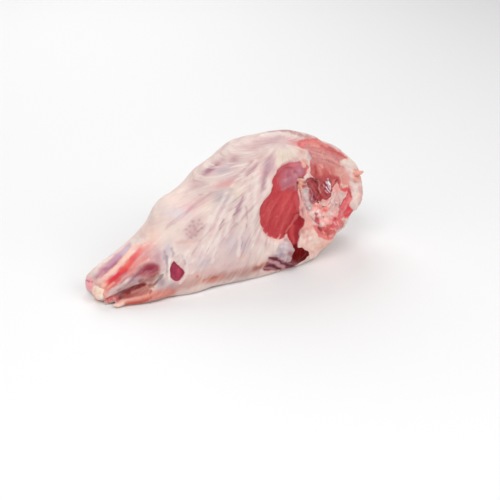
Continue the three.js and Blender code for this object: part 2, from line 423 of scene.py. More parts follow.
# Here and in the tables below, the values stand in the order in which the stroke's function takes them
# The long low clouds at (222, 262) and (228, 275) are painted shade on the leg's lower side, toward the
# floor
for cloud in (
        ((166, 222), (22, 26), "efdcd2", 0.7), ((175, 196), (20, 12), "f0dad0", 0.7, 40),
        ((151, 236), (9, 11), "f2ccbd", 0.8), ((208, 206), (7, 15), "ead8cb", 0.7),
        ((238, 193), (8, 9), "e6d5c4", 0.7, -30), ((177, 213), (12, 6), "dcd1d8", 0.7),
        ((192, 207), (7, 4), "e0aab0", 0.7, 20), ((186, 203), (3, 1.6), "eec9cd", 0.7, 20),
        ((250, 152), (28, 10), "d3bdb8", 0.7, 20), ((274, 139), (15, 4.5), "c39da4", 0.75, 8),
        ((258, 142), (10, 4), "c9a5a8", 0.6, 30), ((236, 246), (16, 14), "c8b8bf", 0.7),
        ((243, 246), (4, 5), "b4a3ab", 0.6), ((214, 246), (3, 14), "e8dbd5", 0.6, -10),
        ((203, 263), (8, 8), "c4b5c2", 0.7), ((168, 249), (4, 8), "c2b4be", 0.7, -10),
        ((223, 198), (10, 8), "b5a5ac", 0.8, 30), ((231, 189.5), (2.4, 1.2), "a9a29f", 0.6),
        ((194, 230), (9, 11), "c8a2a4", 0.75, -30), ((222, 171), (9, 3.6), "bfb1ba", 0.8, 20),
        ((262, 225), (4, 14), "e2d2ca", 0.6), ((262, 249), (9, 8), "e6d6cb", 0.6),
        ((250, 262), (16, 5), "dac5bc", 0.6, 12), ((256, 212), (5, 9), "cdb2b2", 0.55, -10),
        ((175, 256), (6, 4), "c4abae", 0.5), ((262, 268), (5, 1.6), "cd7a64", 0.7, 12),
        ((228, 275), (26, 4), "c8aaa6", 0.6, 12), ((222, 262), (46, 13), "cfb6b3", 0.5, 12),
        ((208, 172), (8, 3.2), "b88a98", 0.9, 30), ((216, 165), (9, 3.2), "b5848f", 0.9, 34),
        ((234, 161), (6, 4.2), "c0949a", 0.8, 40), ((224, 184), (11, 3), "d79c9c", 0.8, 22),
        ((233, 182), (6, 2), "d9958f", 0.6, 4), ((247, 171), (14, 3), "c9a1a3", 0.6, 48),
        ((267, 164), (7, 3), "b597a4", 0.75, 70), ((240, 208), (13, 3), "c0a4ad", 0.55, 66)):
    blush(*cloud)
# Places where the membrane is thin, first as clouds and then as lines
for centre, radii, share, angle in (
        ((211, 169), (9, 3.4), 0.5, 32), ((234, 160), (6, 4), 0.5, 45), ((250, 168), (18, 7), 0.42, 50),
        ((260, 146), (14, 6), 0.4, 25), ((240, 212), (18, 6), 0.42, 68), ((264, 184), (13, 3), 0.5, 76),
        ((222, 224), (9, 5), 0.4, 66), ((226, 194), (12, 7), 0.3, 50), ((252, 218), (14, 5), 0.34, 78),
        ((206, 250), (14, 9), 0.3, 66), ((234, 248), (14, 9), 0.32, 80), ((194, 230), (9, 9), 0.3, 40)):
    thin_out(centre, radii, share, angle)
for line, width, share in (
        ([(205, 171), (212, 168), (217, 165), (223, 159)], 2.8, 0.3),
        ([(196, 192), (201, 194.6), (206, 194.8), (211, 192.6)], 1.5, 0.75),
        ([(236, 178), (242, 171.6), (246, 167.5), (252, 161)], 2.2, 0.5),
        ([(243, 196), (239.6, 206), (236, 214)], 1.7, 0.6),
        ([(236.4, 208), (234.2, 215), (233.6, 223)], 1.4, 0.55),
        ([(222.6, 219), (220.6, 225), (219.4, 230)], 2, 0.5),
        ([(252.4, 176), (250.6, 183), (249.6, 190)], 1.8, 0.55),
        ([(246.4, 208), (247, 218), (246.6, 228)], 1.4, 0.7),
        ([(267, 172), (263.4, 181), (261, 192)], 1.8, 0.45), ([(263, 173), (259.6, 183)], 1.4, 0.4),
        ([(269, 158), (266, 166), (264.6, 171)], 2.2, 0.55),
        ([(258, 163), (250, 172), (244, 182)], 1.6, 0.5),
        ([(243, 236), (241.6, 244), (242.6, 250)], 1.6, 0.55), ([(216, 232), (212, 243)], 1.6, 0.5)):
    thin_out(line, width, share)
# Pale threads of fat that run down from the rump, with lilac ones between them
for line, width in (
        ([(272, 150), (266, 156), (259, 166), (254, 176)], 1.6),
        ([(259, 172), (256.5, 186), (254, 202)], 1.8), ([(268, 178), (267.5, 187), (264, 196)], 1.7),
        ([(240, 198), (234, 208), (229, 222), (226, 236)], 1.7),
        ([(249, 194), (243, 208), (239, 222)], 1.5), ([(256, 206), (253, 222), (252, 238)], 1.8),
        ([(232, 197), (223, 212), (214, 234), (206, 252)], 1.8),
        ([(227, 192), (218, 208), (211, 222)], 1.5), ([(210, 216), (206, 232), (202, 246)], 1.8),
        ([(246, 168), (238, 178), (232, 186)], 1.6), ([(256, 160), (248, 168), (242, 176)], 1.4),
        ([(190, 256), (186, 266), (184, 276)], 1.4), ([(222, 230), (217, 244), (212, 262)], 1.6),
        ([(244, 226), (240, 240), (238, 256)], 1.6)):
    streak(line, width, "efe1da", 0.6, rise=0.5)
streak([(225, 204), (218, 216), (213, 228)], 1.4, "d3b6b8", 0.5)
blush((265, 179), (3.6, 15), "c2969a", 0.6, -15)
blush((270, 168), (3, 6), "c29298", 0.6, -10)
blush((273, 166), (4, 5), "c8b2b4", 0.6, -20)
streak([(271.6, 157), (268.4, 167), (265, 178), (262.6, 189)], 1.7, "b696a0", 0.55)
streak([(275.4, 156), (273, 163), (272, 169)], 1.8, "cba2ac", 0.6)
blush((267, 198), (2.4, 8), "d3b3b3", 0.5, -20)
blush((231, 184), (7, 2.4), "d29a98", 0.6, 24)
blush((262, 159), (8, 3), "cfa8a2", 0.6, 40)
# The low edge by the floor, rosy in its own tone and darkened with painted shade, and short red threads
streak([(170, 290), (186, 284.6), (204, 280), (222, 276.6), (240, 272.6), (256, 269)], 4, "b87f76", 0.6)
streak([(176, 281), (196, 275), (214, 271)], 3, "cfa29c", 0.55)
streak([(158, 272), (164, 270), (169, 274)], 2.4, "b58a8c", 0.6)
streak([(177, 243), (188, 242), (199, 240)], 1.4, "dcb6aa", 0.6)
streak([(236, 258), (245, 256), (246, 262)], 1.2, "deb3a6", 0.5)
# A patch of small mottles over the thigh
for x, y in (
        (189, 226), (193, 222), (198, 224), (195, 229), (201, 228), (190, 232), (196, 235), (199, 220),
        (186, 230), (193, 226), (198, 231), (187, 235), (191, 238), (202, 224)):
    blush((x, y), (1.4, 1.2), "ac7c82", 0.6)
# The rosy top edge, and the cream fat above the big muscle
streak([(270, 131), (280, 129), (291, 131.5), (301, 135), (308, 138)], 1.8, "b98280", 0.8, rise=-0.3)
streak([(262, 134.5), (280, 133.5), (292, 137)], 2, "e9d8d2", 0.7, rise=0.6)
stain([(275, 157), (280, 150.5), (291, 147.6), (302, 149), (305.6, 153), (302, 157.6), (295, 158.2),
       (287, 160.5), (280, 166), (276, 168)], "e6d6c8", 2.2, 0.9, rise=0.6)
blush((281, 157), (5, 4), "dccbb4", 0.6)
blush((301, 152.6), (4, 4), "cf9890", 0.75)
blush((296, 158.4), (5, 2.4), "d3a09a")
streak([(287, 146.6), (296, 147.2), (305, 149)], 1.1, "eed5cc", 0.7, rise=0.4)

# The big round muscle, trimmed of its fat. Its silverskin is left on at the top, as a lilac veil.
trim([(301, 161), (295, 161.4), (289, 163), (283, 165.6), (278.4, 169), (275, 173), (273, 179), (272, 185),
      (271, 192), (266, 199), (261, 205), (259.6, 213), (260.4, 224), (264.4, 233), (269.6, 237.6),
      (275, 238.4), (279, 239.6), (284, 238), (288, 232), (294, 223), (299, 217), (300.4, 208), (299, 200),
      (297.6, 190), (296, 185), (301, 180.5), (304.5, 177), (307.6, 172), (308.6, 166), (306, 162)],
     "bf4449", 1.8, rise=-0.5, lip=0.9)
# Fat that frays into its low edge
for line, width, bare in (
        ([(265.4, 236), (267.4, 234.6)], 1, 0.4), ([(270.4, 239), (272, 237.6)], 0.8, 0.3),
        ([(277.4, 240.6), (279.4, 237), (280.4, 234.6)], 0.7, 0.5),
        ([(284.6, 238.6), (287.4, 234)], 1.1, 0.2), ([(261.8, 229), (263.2, 228.2)], 0.8, 0.4)):
    streak(line, width, "e3bcb2", 0.7, bare=bare, rise=0.2)
streak([(263, 233.6), (267, 237), (272.4, 239.8), (279, 240.8)], 1, "dfb0a6", 0.5)
# Lighter and darker parts of it, and its grain: pale fibres with a dark one beside each
tint([(262, 205), (271, 200), (276, 206), (272, 218), (264, 218)], "c84f52", 5, 0.7)
tint([(277, 196), (291, 191), (296, 202), (288, 216), (277, 212)], "cc5054", 5, 0.7)
tint([(262, 220), (270, 222), (280, 230), (279, 237), (268, 234)], "b83f45", 4, 0.7)
tint([(284, 226), (292, 217), (297, 212), (296, 220), (288, 231), (281, 236)], "c8605c", 3, 0.5)
for line in (
        [(287, 200), (281, 212), (276, 226)], [(293, 204), (287, 216), (281, 229)],
        [(280, 195), (273, 208), (268, 222)], [(292, 192), (287, 203), (284, 210)],
        [(274, 204), (269, 214), (267, 226)], [(290, 214), (284, 225), (278, 235)]):
    streak(line, 1, "d0605f", 0.3, rise=0.12)
    streak([(x + 2.8, y + 1.2) for x, y in line], 1.2, "ab343d", 0.3, rise=-0.1)
for x, y in ((273, 201), (269, 210), (264, 216), (277, 216), (283, 206)):
    tint([(x - 1, y), (x, y - 0.9), (x + 1.2, y), (x, y + 0.9)], "e08f86", 1, 0.3)
# The veil of silverskin, with its mottles
tint([(280, 166), (286, 162), (293, 159.6), (302, 159), (307, 161), (309, 166), (308, 172), (304, 177.6),
      (300, 181), (293, 185), (287, 187.6), (282, 190), (279, 184), (277.6, 176), (278, 170)], "bc5f6a", 5,
     0.8, rise=0.5, wet=0.4, veiled=0.9)
tint([(282, 182), (284, 175), (289, 170), (297, 168), (304, 170), (303, 176), (296, 181), (288, 184)],
     "b9727f", 6, 0.75)
tint([(280, 185), (284, 180), (290, 177), (296, 178), (291, 182), (284, 187)], "ae7482", 3, 0.6)
tint([(286, 187), (291, 183.6), (296, 182), (297, 190), (288, 192)], "b14e56", 2.6, 0.7)
tint([(293, 160), (301, 159), (306, 162), (303, 166), (295, 166)], "c4707a", 3, 0.6)
tint([(297, 167), (304, 167), (305, 173), (299, 176)], "b98294", 3, 0.5)
for x, y in ((287, 172), (293, 170), (299, 171), (290, 177), (296, 176), (285, 179), (302, 165)):
    tint([(x - 2, y + 1), (x, y - 1.2), (x + 2.2, y - 1), (x + 1, y + 1.4)], "cfa2ac", 1.6, 0.35)
streak([(279, 172), (284, 167), (291, 163)], 2.8, "c25a64", 0.4)
streak([(283, 189.4), (288, 187), (294, 184)], 1.6, "c48a94", 0.4)
tint([(286, 171), (292, 172), (293, 177), (287, 178)], "a8525c", 2, 0.5)
tint([(289, 161.4), (299, 160.4), (299, 165.6), (290, 166)], "d67c84", 2, 0.5)
# A tag of fat at its top, and the rosy seam along its right side
cover([(301.2, 160.4), (304.8, 160), (307, 163.6), (305.8, 167.8), (302.4, 167.6), (300.8, 164)], "de9583",
      1.8, rise=0.2)
blush((303.8, 165), (1.4, 1.6), "f8c6b4", 0.85)
streak([(297, 197), (298, 206), (298, 214)], 2, "c05a5c", 0.6)
stain([(299.6, 186), (303, 187), (305, 200), (306, 212), (305, 218), (301, 216), (300.4, 204)], "d39490",
      1.8, 0.95, rise=0.3)
for line, colour in (
        ([(301, 194), (301.6, 200)], "b9686c"), ([(302.6, 199), (303, 206)], "e9b8b2"),
        ([(301.6, 208), (302.4, 214)], "ae6263"), ([(300.6, 202), (301, 208)], "e0a6a0")):
    streak(line, 1, colour, 0.8)

# The darker muscle that runs down from it, to a dark lump by the leg's underside
trim([(297, 216), (303, 216.6), (305.4, 221), (304, 226), (301, 229), (300, 234), (298.5, 241),
      (298, 248.5), (294, 250), (291.5, 243), (288.5, 238), (287, 233), (291, 227.5), (295, 221)], "a92e36",
     2.2, rise=-1)
# Its rosy edges, and dark and light fibres
stain([(299, 227), (303, 226.6), (302.6, 233), (300, 235)], "b5736e", 1.8, 0.8)
stain([(283, 238.6), (288, 236), (291.6, 243), (289, 246), (284, 242)], "b98280", 2.2, 0.8)
streak([(272, 240), (279, 242), (283, 242.6)], 1.6, "ecbdb4", 0.6)
tint([(298, 217), (303, 217.6), (304.6, 222), (301, 227), (297, 226), (297, 221)], "9a1d29", 1.8, 0.9)
streak([(293, 226), (291.6, 234), (294.6, 242)], 1.6, "c4504f", 0.7)
streak([(299, 229), (296.6, 237), (296, 246)], 1.1, "8a2430", 0.6)
streak([(296, 246), (297, 250)], 2.2, "a0405c", 0.5)
streak([(297.4, 216), (292, 225), (286.6, 232)], 0.9, "d0716e", 0.6)
# The dark lump
trim([(296, 248), (303, 248), (307, 251), (309.4, 254), (307.6, 258), (304, 261), (298, 264), (293, 265),
      (288.6, 263), (290.6, 257), (293.5, 252)], "6a0004", 1.6, rise=0.9, wet=0)
tint([(290, 250), (300, 248), (308, 252), (306, 260), (294, 265), (288, 262)], "660002", 2, 0.9, veiled=0.9)
tint([(296, 249), (303, 248.6), (305, 251), (299, 252)], "740c14", 1.2, 0.7)
# The purple folds to its left, under a bluish veil
trim([(269, 256.5), (276, 257), (283, 260), (290, 263), (296, 266.5), (288, 269), (276, 270.5),
      (262, 271.5), (266, 266), (268, 261)], "8a4850", 2.4, rise=-0.5, wet=0.05)
stain([(273, 254), (276, 247.6), (281, 243.6), (287, 241), (292, 244), (294.6, 249), (292, 256), (291, 261),
       (284, 261.6), (278, 259.6), (271, 258.6)], "c4a5a6", 3, 0.9, rise=0.2, wet=0.1)
cover([(276.5, 256), (278, 249), (282, 245.5), (287, 243.6), (291.5, 246.5), (292.6, 251), (290, 257),
       (289, 261.5), (283, 260.5)], "c6b0b2", 4, rise=0.2)
for centre, radii, colour in (
        ((280, 255), (2.6, 4), "a98f9e"), ((289.5, 253), (3.4, 2.4), "9c5a62"),
        ((285, 246.6), (4, 1.8), "d9cfd4"), ((279, 250), (1.8, 2.2), "b3a4b0"),
        ((285.6, 258), (3, 1.8), "cfb9bc"), ((290, 247), (2, 1.4), "ccb2b4"),
        ((284, 251.6), (2, 1.4), "d6c4ca"), ((274.6, 256), (2.4, 2), "8f6a76"),
        ((282, 261), (3, 1.2), "a5808c"), ((292, 256.6), (1.8, 3.4), "7c3038"),
        ((286, 243), (3, 1.6), "e6d2d0"), ((277, 253), (1.6, 1.2), "d5c3c4"),
        ((283, 255.4), (1.2, 2), "b091a0"), ((287.4, 259), (1.4, 2), "b28890"),
        ((281.4, 247), (1.4, 1), "e2d8da")):
    blush(centre, radii, colour, 0.8)
for stroke in (
        ([(270, 258.6), (277, 260.6), (284, 264), (291, 266)], 1.4, "5a1f2c", 0.75),
        ([(268, 261), (276, 264), (284, 268)], 1.9, "d3a2a8", 0.85, 0.3),
        ([(279, 259.8), (285, 262), (291, 264)], 0.8, "b98c98", 0.6, 0.2),
        ([(266, 266.4), (274, 267.2), (281, 270)], 1, "4a1a24", 0.7),
        ([(264, 268.6), (270, 269), (276, 271)], 0.9, "b98690", 0.7, 0.3),
        ([(283, 262.6), (290, 264.6)], 0.9, "9c6272", 0.7)):
    streak(*stroke)
blush((261, 263.6), (5, 3), "c8917f", 0.8, 30)
streak([(254, 269), (261, 267.6), (267, 264)], 2, "a8604e", 0.7)
streak([(268, 253), (263, 258), (259, 265)], 1.8, "ecd6ca", 0.7, rise=0.5)

# The cut face beside it: a brown-rose muscle that runs out into a paler rim
trim([(309.6, 166.5), (310.6, 161), (314, 155), (322, 154), (331, 157), (338, 161), (342, 165.6),
      (346, 170.6), (348.8, 176.6), (350, 184), (349, 190), (345, 192), (341, 190), (338, 186),
      (336.4, 179.6), (330, 179.6), (324, 180.5), (319, 179.5), (314.5, 178.5), (310.6, 174)], "cf7873",
     2.4, rise=-0.4, wet=0.2)
tint([(309, 164), (314, 154), (331, 156), (343, 164), (350, 180), (348, 191), (336, 182), (311, 180)],
     "cf7873", 2, 0.5, veiled=0.55)
tint([(312.6, 168), (319, 168), (320, 180), (313.6, 179)], "b85250", 2.4, 0.8)
tint([(311, 162), (317, 160), (320, 165), (317, 170), (312, 170)], "c25c60", 2.4, 0.7)
tint([(320, 169), (331, 168.6), (333, 178), (322, 180)], "c8635f", 2.6, 0.8)
tint([(321, 173), (328, 172), (330, 177), (324, 179)], "bb5654", 2.4, 0.7)
streak([(319.4, 166), (321, 172), (321.4, 178)], 1.4, "d88a80", 0.5, rise=0.2)
streak([(326, 163), (329, 168), (331, 174)], 1.2, "dc9990", 0.45, rise=0.2)
tint([(323, 160.6), (334, 161.6), (334, 168.6), (325, 168)], "c97a74", 2.4, 0.8)
tint([(335, 162.6), (343, 165), (349, 172), (351, 182), (347, 188), (341, 187), (338, 180), (336, 172)],
     "dba197", 2.8, 0.95, veiled=0.6)
tint([(341, 176), (347, 177), (349, 184), (345, 189), (341, 184)], "dd918c", 2.4, 0.8)
streak([(336.6, 167), (338, 173), (337.6, 179)], 1.5, "de9c90", 0.6, rise=0.3)
streak([(316.4, 165), (316.4, 172), (315.4, 178)], 1.2, "a8403f", 0.6, rise=-0.4)
# A pale salmon stroke on the muscle's top: a painted highlight
streak([(320.6, 164.4), (322.6, 165.6), (323.4, 167)], 1.1, "f6a996", 0.85, rise=0.4)
streak([(317.2, 156.8), (317.8, 159.4)], 0.9, "f3c9be", 0.85, rise=0.4)
streak([(348.6, 174), (350.2, 183), (350, 190)], 1.2, "dd9a92", 0.6)
streak([(308.4, 169.6), (309.4, 174), (311, 178)], 1.2, "e9bdb0", 0.85, rise=0.6, bare=0.2)
streak([(295.6, 190), (295.4, 184), (297, 179), (302, 177)], 1.2, "b36f78", 0.7, rise=1)
streak([(341.6, 184.6), (344, 186.6), (346.6, 186.4)], 1.3, "ecc9b4", 0.6, rise=0.4, bare=0.3)

# The deep muscle below it, wet and creased
trim([(302.5, 186), (305, 181), (309, 177.6), (312.5, 179.4), (316, 179.4), (324, 180.2), (330, 179.6),
      (334.6, 178.8), (336.6, 180.6), (334.2, 186.6), (331.4, 192), (330.4, 196), (326.4, 200),
      (322.4, 198), (320, 201), (317, 204.2), (312.6, 203.6), (310, 199), (309.8, 193), (311.5, 188.6),
      (306, 188.4)], "b65154", 1.8, rise=-0.8, wet=0.5)
for patch in (
        ([(309.6, 191), (313, 189), (314.6, 195), (313.6, 202), (311, 201)], "8d3352", 1.6, 0.9),
        ([(313.6, 199.6), (318, 199.4), (319, 202.4), (316, 204.4), (313, 203.6)], "8c1a33", 1.2, 0.9),
        ([(318.6, 193.6), (322, 194), (323, 198.6), (319.6, 200)], "a02a38", 1.2, 0.8),
        ([(325.4, 180.6), (331.6, 180.6), (332, 188), (329.6, 193), (326, 189)], "9a4c54", 1.6, 0.85, 0, 1),
        ([(332.4, 178.6), (336, 178.4), (335, 184), (333, 187)], "d4766c", 1, 0.85),
        ([(322, 193), (330, 193), (327.6, 199), (323.6, 198)], "ac4b4e", 1.4, 0.6),
        ([(320.4, 181), (325, 181), (325.6, 190), (322, 192)], "be5e5e", 1.6, 0.7)):
    tint(*patch)
stain([(318, 202), (324, 200.6), (331, 197), (331, 202), (322, 204.6)], "e4a49a", 1.6, 0.9)
tint([(307, 179), (312, 180), (315, 185), (315, 192), (310.6, 190), (306, 185)], "c86468", 1.6, 0.8)
blush((316, 196.4), (1.6, 2.2), "9a6a56", 0.5)
tint([(315, 194), (317, 193.6), (317, 198.6), (315.4, 199)], "93544c", 1, 0.7)
# The dark lines along the left and right creases are painted shade in them; the pale line beside the left
# crease is partly pale tissue and partly a painted highlight
streak([(315.4, 179), (316.6, 183), (318, 188), (318.8, 192.4), (317.6, 195.4)], (0.8, 0.6), "7c2a2c", 0.75,
       rise=0.3)
streak([(317.6, 180), (319.6, 184), (320.2, 189), (320.6, 192)], 0.7, "d4908a", 0.75, rise=0.4)
streak([(336.6, 180.6), (334.6, 185.6), (331.4, 191.4)], 0.8, "8a3034", 0.8, rise=-0.5)
streak([(324.6, 183), (325, 190), (327, 195)], 1.2, "8e343a", 0.5, rise=-0.3)
# Painted highlights: the white and pale glints on the wet muscle
for line, width, colour in (
        ([(329.2, 182.4), (330, 184.4)], 1.3, "ffffff"), ([(328.6, 179.2), (329.6, 180)], 0.7, "dcb6bc"),
        ([(331.2, 185.6), (331.4, 187.6)], 0.8, "f4e4ea"), ([(326.4, 182), (327.4, 184.4)], 0.6, "e6c4cc"),
        ([(326, 187.6), (329.6, 192)], 0.6, "f0dce4"), ([(328, 186), (330.6, 189.4)], 0.6, "f0dce4"),
        ([(325.6, 190.6), (327.4, 193)], 0.5, "d8b0ba"), ([(323.6, 184.6), (324, 187)], 0.5, "cf9aa2")):
    streak(line, width, colour, 0.85, rise=0.3, wet=1)
streak([(330.4, 180), (331.4, 182.6)], 0.6, "5c4a54", 0.7)

# Pale tissue, red nicks and the long red muscle along the outer side
stain([(333, 191), (338, 187), (346.5, 193), (345, 200), (339, 209), (334, 217.5), (330.5, 212),
       (330.5, 201)], "dcb4ae", 2.4, 0.9)
stain([(331.6, 189), (337.4, 180), (341, 184), (343, 191), (336, 193)], "eca199", 2, 0.85)
for centre, radii, colour in (
        ((337, 207), (3, 4), "ead0c8"), ((335.4, 205.2), (0.9, 1.2), "a08a88"),
        ((341, 194.4), (3, 2.4), "cfbcba"), ((332, 199), (2, 5), "e7c8ca"),
        ((338, 200), (2.4, 3), "e2c2bd"), ((333, 212), (2.4, 3), "e8d0ca")):
    blush(centre, radii, colour, 0.85)
trim([(349.6, 190), (350.6, 194), (350.4, 201), (350.8, 207), (353, 213.6), (351, 218), (348, 219.6),
      (345.6, 217), (341.5, 219), (336, 223.5), (332.4, 222), (335.6, 215.5), (341.4, 206.5), (346, 198)],
     "dc6c6f", 2, rise=-0.5, wet=0.4)
streak([(349.6, 190), (346.2, 199), (340.6, 209), (333.4, 221.4)], 0.9, "bb4650", 0.7, bare=1, rise=-0.5)
streak([(349, 195), (345.6, 203), (339, 213), (335.6, 220)], 1.3, "e06e72", 0.7, bare=1)
streak([(351, 198), (348.4, 206), (344, 213)], 1.2, "e98f8e", 0.7, bare=0.8, rise=0.3)
streak([(350.4, 192), (350.8, 196)], 0.8, "98484e", 0.5, bare=1)
tint([(349, 204), (351.4, 206), (353.4, 213.6), (351.2, 218), (347.6, 219), (346, 215.4), (348, 210)],
     "dc2f3a", 2, 0.95, rise=0.5, wet=0.6)
tint([(347.4, 214), (351, 213.4), (351.4, 217), (348, 218.4)], "de2030", 1.2, 0.9)
streak([(343.4, 189), (345.4, 190.2), (347.4, 189.6)], 1.2, "d8505a", 0.8, bare=1)
blush((345, 192.6), (3, 1.8), "ec9490", 0.8)

# The ragged red and white tissue below the hip bone, over thick white fat
stain([(303, 225.5), (307, 222), (313, 226), (317, 232), (325, 238), (335, 238), (332, 243), (324, 250),
       (317, 256), (309, 261), (309.6, 252), (304, 247.6), (298.8, 247), (299.6, 240), (301, 232)],
      "f5d0c4", 1.8, 0.97, rise=0.9)
stain([(302, 212), (309, 213), (314, 218), (314, 227), (308, 232), (303, 230), (304, 221)], "e5a89d", 2.6,
      0.9)
for centre, radii, colour in (
        ((306, 241), (3, 6), "e9b2a8"), ((309.6, 232), (2, 3), "ebbcb0"), ((328, 243), (7, 3), "f5b8a6"),
        ((313, 246), (3, 4), "f0cbbf"), ((303, 238), (1.6, 3), "e4bcb2"), ((314, 236), (2.4, 2), "f4cfc4"),
        ((321, 247), (5, 3), "f3bca9"), ((302, 246), (2, 2.4), "e3aba2"), ((303, 231), (2.4, 3), "b9736c"),
        ((308, 236), (1.3, 2), "dd9c98"), ((311, 238.4), (2, 1.4), "fbe9e2"),
        ((304.4, 241), (1.4, 2), "f7e2da"), ((316, 242.4), (2.4, 1.6), "f5dccf"),
        ((309, 249), (2, 1.6), "eec0b2"), ((312, 252), (3, 2), "e5b09e")):
    blush(centre, radii, colour, 0.75)
trim([(312, 225), (316, 225.4), (320, 227.4), (326, 227.4), (330, 225), (334, 220.5), (341, 219),
      (345.5, 222.5), (343.5, 228), (339, 233), (334, 238), (328, 240), (321, 237.6), (315.6, 232.6)],
     "e2716e", 2.8, rise=-0.3, wet=0.5)
tint([(322, 228.4), (330, 227.6), (336, 226), (338, 231), (330, 235), (322, 233.6)], "d65856", 2.2, 0.8)
tint([(313, 226), (317, 226), (318.6, 229.6), (315, 230.6)], "e77e84", 1.6, 0.85)
tint([(332, 221), (340, 219.6), (343, 224), (338, 229), (333, 228)], "e26970", 2, 0.8)
tint([(318, 234), (326, 235.6), (335, 234), (331, 240), (322, 238)], "ef8a80", 2, 0.85)
stain([(343, 220), (349, 219), (350, 224), (346, 229), (342, 230)], "d98a7e", 2, 0.85)
streak([(319, 228.4), (321, 230)], 1.3, "8c3040", 0.8, rise=-0.6)
streak([(326, 231), (329, 234), (328, 238)], 1, "ba3c40", 0.6, rise=-0.4)
streak([(343, 223.4), (345, 226), (344, 228.6)], 1.2, "a5604f", 0.5)
# Small pale strokes in the red tissue: painted glints
for line in (
        [(334, 223), (336, 225)], [(337.6, 221.6), (338.6, 224.6)], [(335, 229), (337, 231)],
        [(330.6, 236.6), (333, 234)], [(323, 231.6), (325, 233.6)], [(331.4, 228.4), (333.6, 229.4)]):
    streak(line, 0.65, "f6bdb6", 0.6, rise=0.3)

# The fat that borders the cut face on the outer side, and the salmon muscle along the top
stain([(341, 160.5), (346, 157.6), (352, 158), (356, 164), (358.6, 171), (364, 182), (367, 192), (366, 202),
       (360, 210), (355.4, 217), (353.4, 207), (353, 193), (352.6, 182), (351, 173), (347.6, 167),
       (343, 163)], "ecd0c6", 1.8, 0.95, rise=0.9)
blush((350, 162), (5, 3), "e9ddd0", 0.8)
streak([(360, 188), (361, 196), (359.6, 203)], 2, "d9a3a3", 0.7)
streak([(355.4, 182), (355.8, 194), (355.4, 206)], 1.6, "eedfd6", 0.7, rise=0.4)
blush((357, 197), (2.4, 6), "e9bcb2", 0.6)
stain([(353, 171), (358, 169), (364, 171), (365, 176), (360, 182), (354, 182)], "e6a08e", 1.4, 0.9, wet=0.5)
streak([(355, 176.6), (360, 175.4)], 0.8, "cf7464", 0.8, rise=-0.4)
blush((297, 142.6), (9, 4), "dd8a88", 0.85, -12)
trim([(297, 142), (303, 139.6), (312, 138.6), (320, 139.6), (328, 143.5), (336, 148.6), (343, 154.6),
      (348, 158.4), (341, 160), (334, 158.6), (329, 155.6), (320, 151.6), (312, 149.6), (304, 148.4),
      (298, 146)], "d87170", 3.6, rise=-0.2, wet=0.3)
tint([(300, 141), (311, 140), (312, 147), (302, 147)], "dc7c7a", 2.4, 0.8)
tint([(326, 146), (334, 150), (343, 157), (334, 157), (326, 151)], "d06c69", 2.4, 0.8)
tint([(301, 142), (308, 140), (314, 140.6), (316, 144), (306, 147), (302, 145.6)], "e88886", 2.4, 0.6)
streak([(318, 141), (326, 144.4), (334, 149)], 1.3, "eba49c", 0.5, rise=0.2)
streak([(309.6, 147.2), (313.5, 145.4), (318, 146.8)], 2.4, "f6b2a0", 0.85, rise=0.3)
streak([(303, 143.4), (313, 141.6), (322, 143.6)], 1.6, "e38a82", 0.5)
streak([(329, 146.4), (337, 151.6), (345, 158)], 1, "b34b4c", 0.6)
streak([(322, 144.6), (331, 149.6), (338, 154.6)], 0.9, "c05a5a", 0.4)
trim([(305.6, 149), (312, 148.4), (322, 151), (331, 155.4), (341, 160.6), (338, 163.6), (331, 163),
      (322, 161), (316, 160), (310.6, 157)], "cc8583", 2.4, wet=0.2)
for line, colour in (
        ([(307, 149.6), (318, 152), (328, 156), (339, 163)], "e8b2a8"),
        ([(314, 152.4), (323, 155.4), (332, 159.6)], "d99c96"),
        ([(318, 156.6), (326, 159), (334, 163)], "bf6f6d"),
        ([(312, 148), (322, 150), (333, 155.6)], "e2928a"),
        ([(320, 160), (328, 162), (336, 166)], "dc9a8e"), ([(313, 155), (320, 157), (326, 158)], "e0a49c")):
    streak(line, 0.9, colour, 0.5, rise=0.15)
stain([(306, 155), (309, 153), (314, 155), (313, 158.6), (309, 160)], "c4b0b4", 1.4, 0.9)
streak([(305, 158), (307, 160.6)], 1.2, "e7c0b2", 0.7, rise=0.3)

# The shank: purple and red muscles under the membrane, with their cream tendons between
stain([(92.5, 279), (96, 273), (103, 265.6), (111, 258), (119, 250), (125, 243.6), (131, 241), (131, 246),
       (127, 252.4), (120, 260), (113, 267.4), (106.6, 274.6), (100, 280.6)], "cb9aa6", 2.6, 0.95,
      rise=-0.3)
streak([(99, 278), (105.6, 271.4), (112.4, 264.6), (119, 258)], (3.2, 2.8), "c07e90", 0.9, rise=-0.3)
streak([(103, 273.6), (109, 268), (115, 262)], (2, 1.6), "ae6a84", 0.6)
streak([(108, 266), (114, 260), (121, 253.4)], 1.3, "c3a0b8", 0.5)
streak([(99, 277), (104, 272.4)], 1.4, "d69aa0", 0.7)
blush((124.6, 248.6), (7, 3), "c6b4c8", 0.75, 48)
blush((117, 257), (4, 2.4), "c29ab2", 0.5, 48)
blush((108, 270), (4, 1.6), "b98390", 0.5, 45)
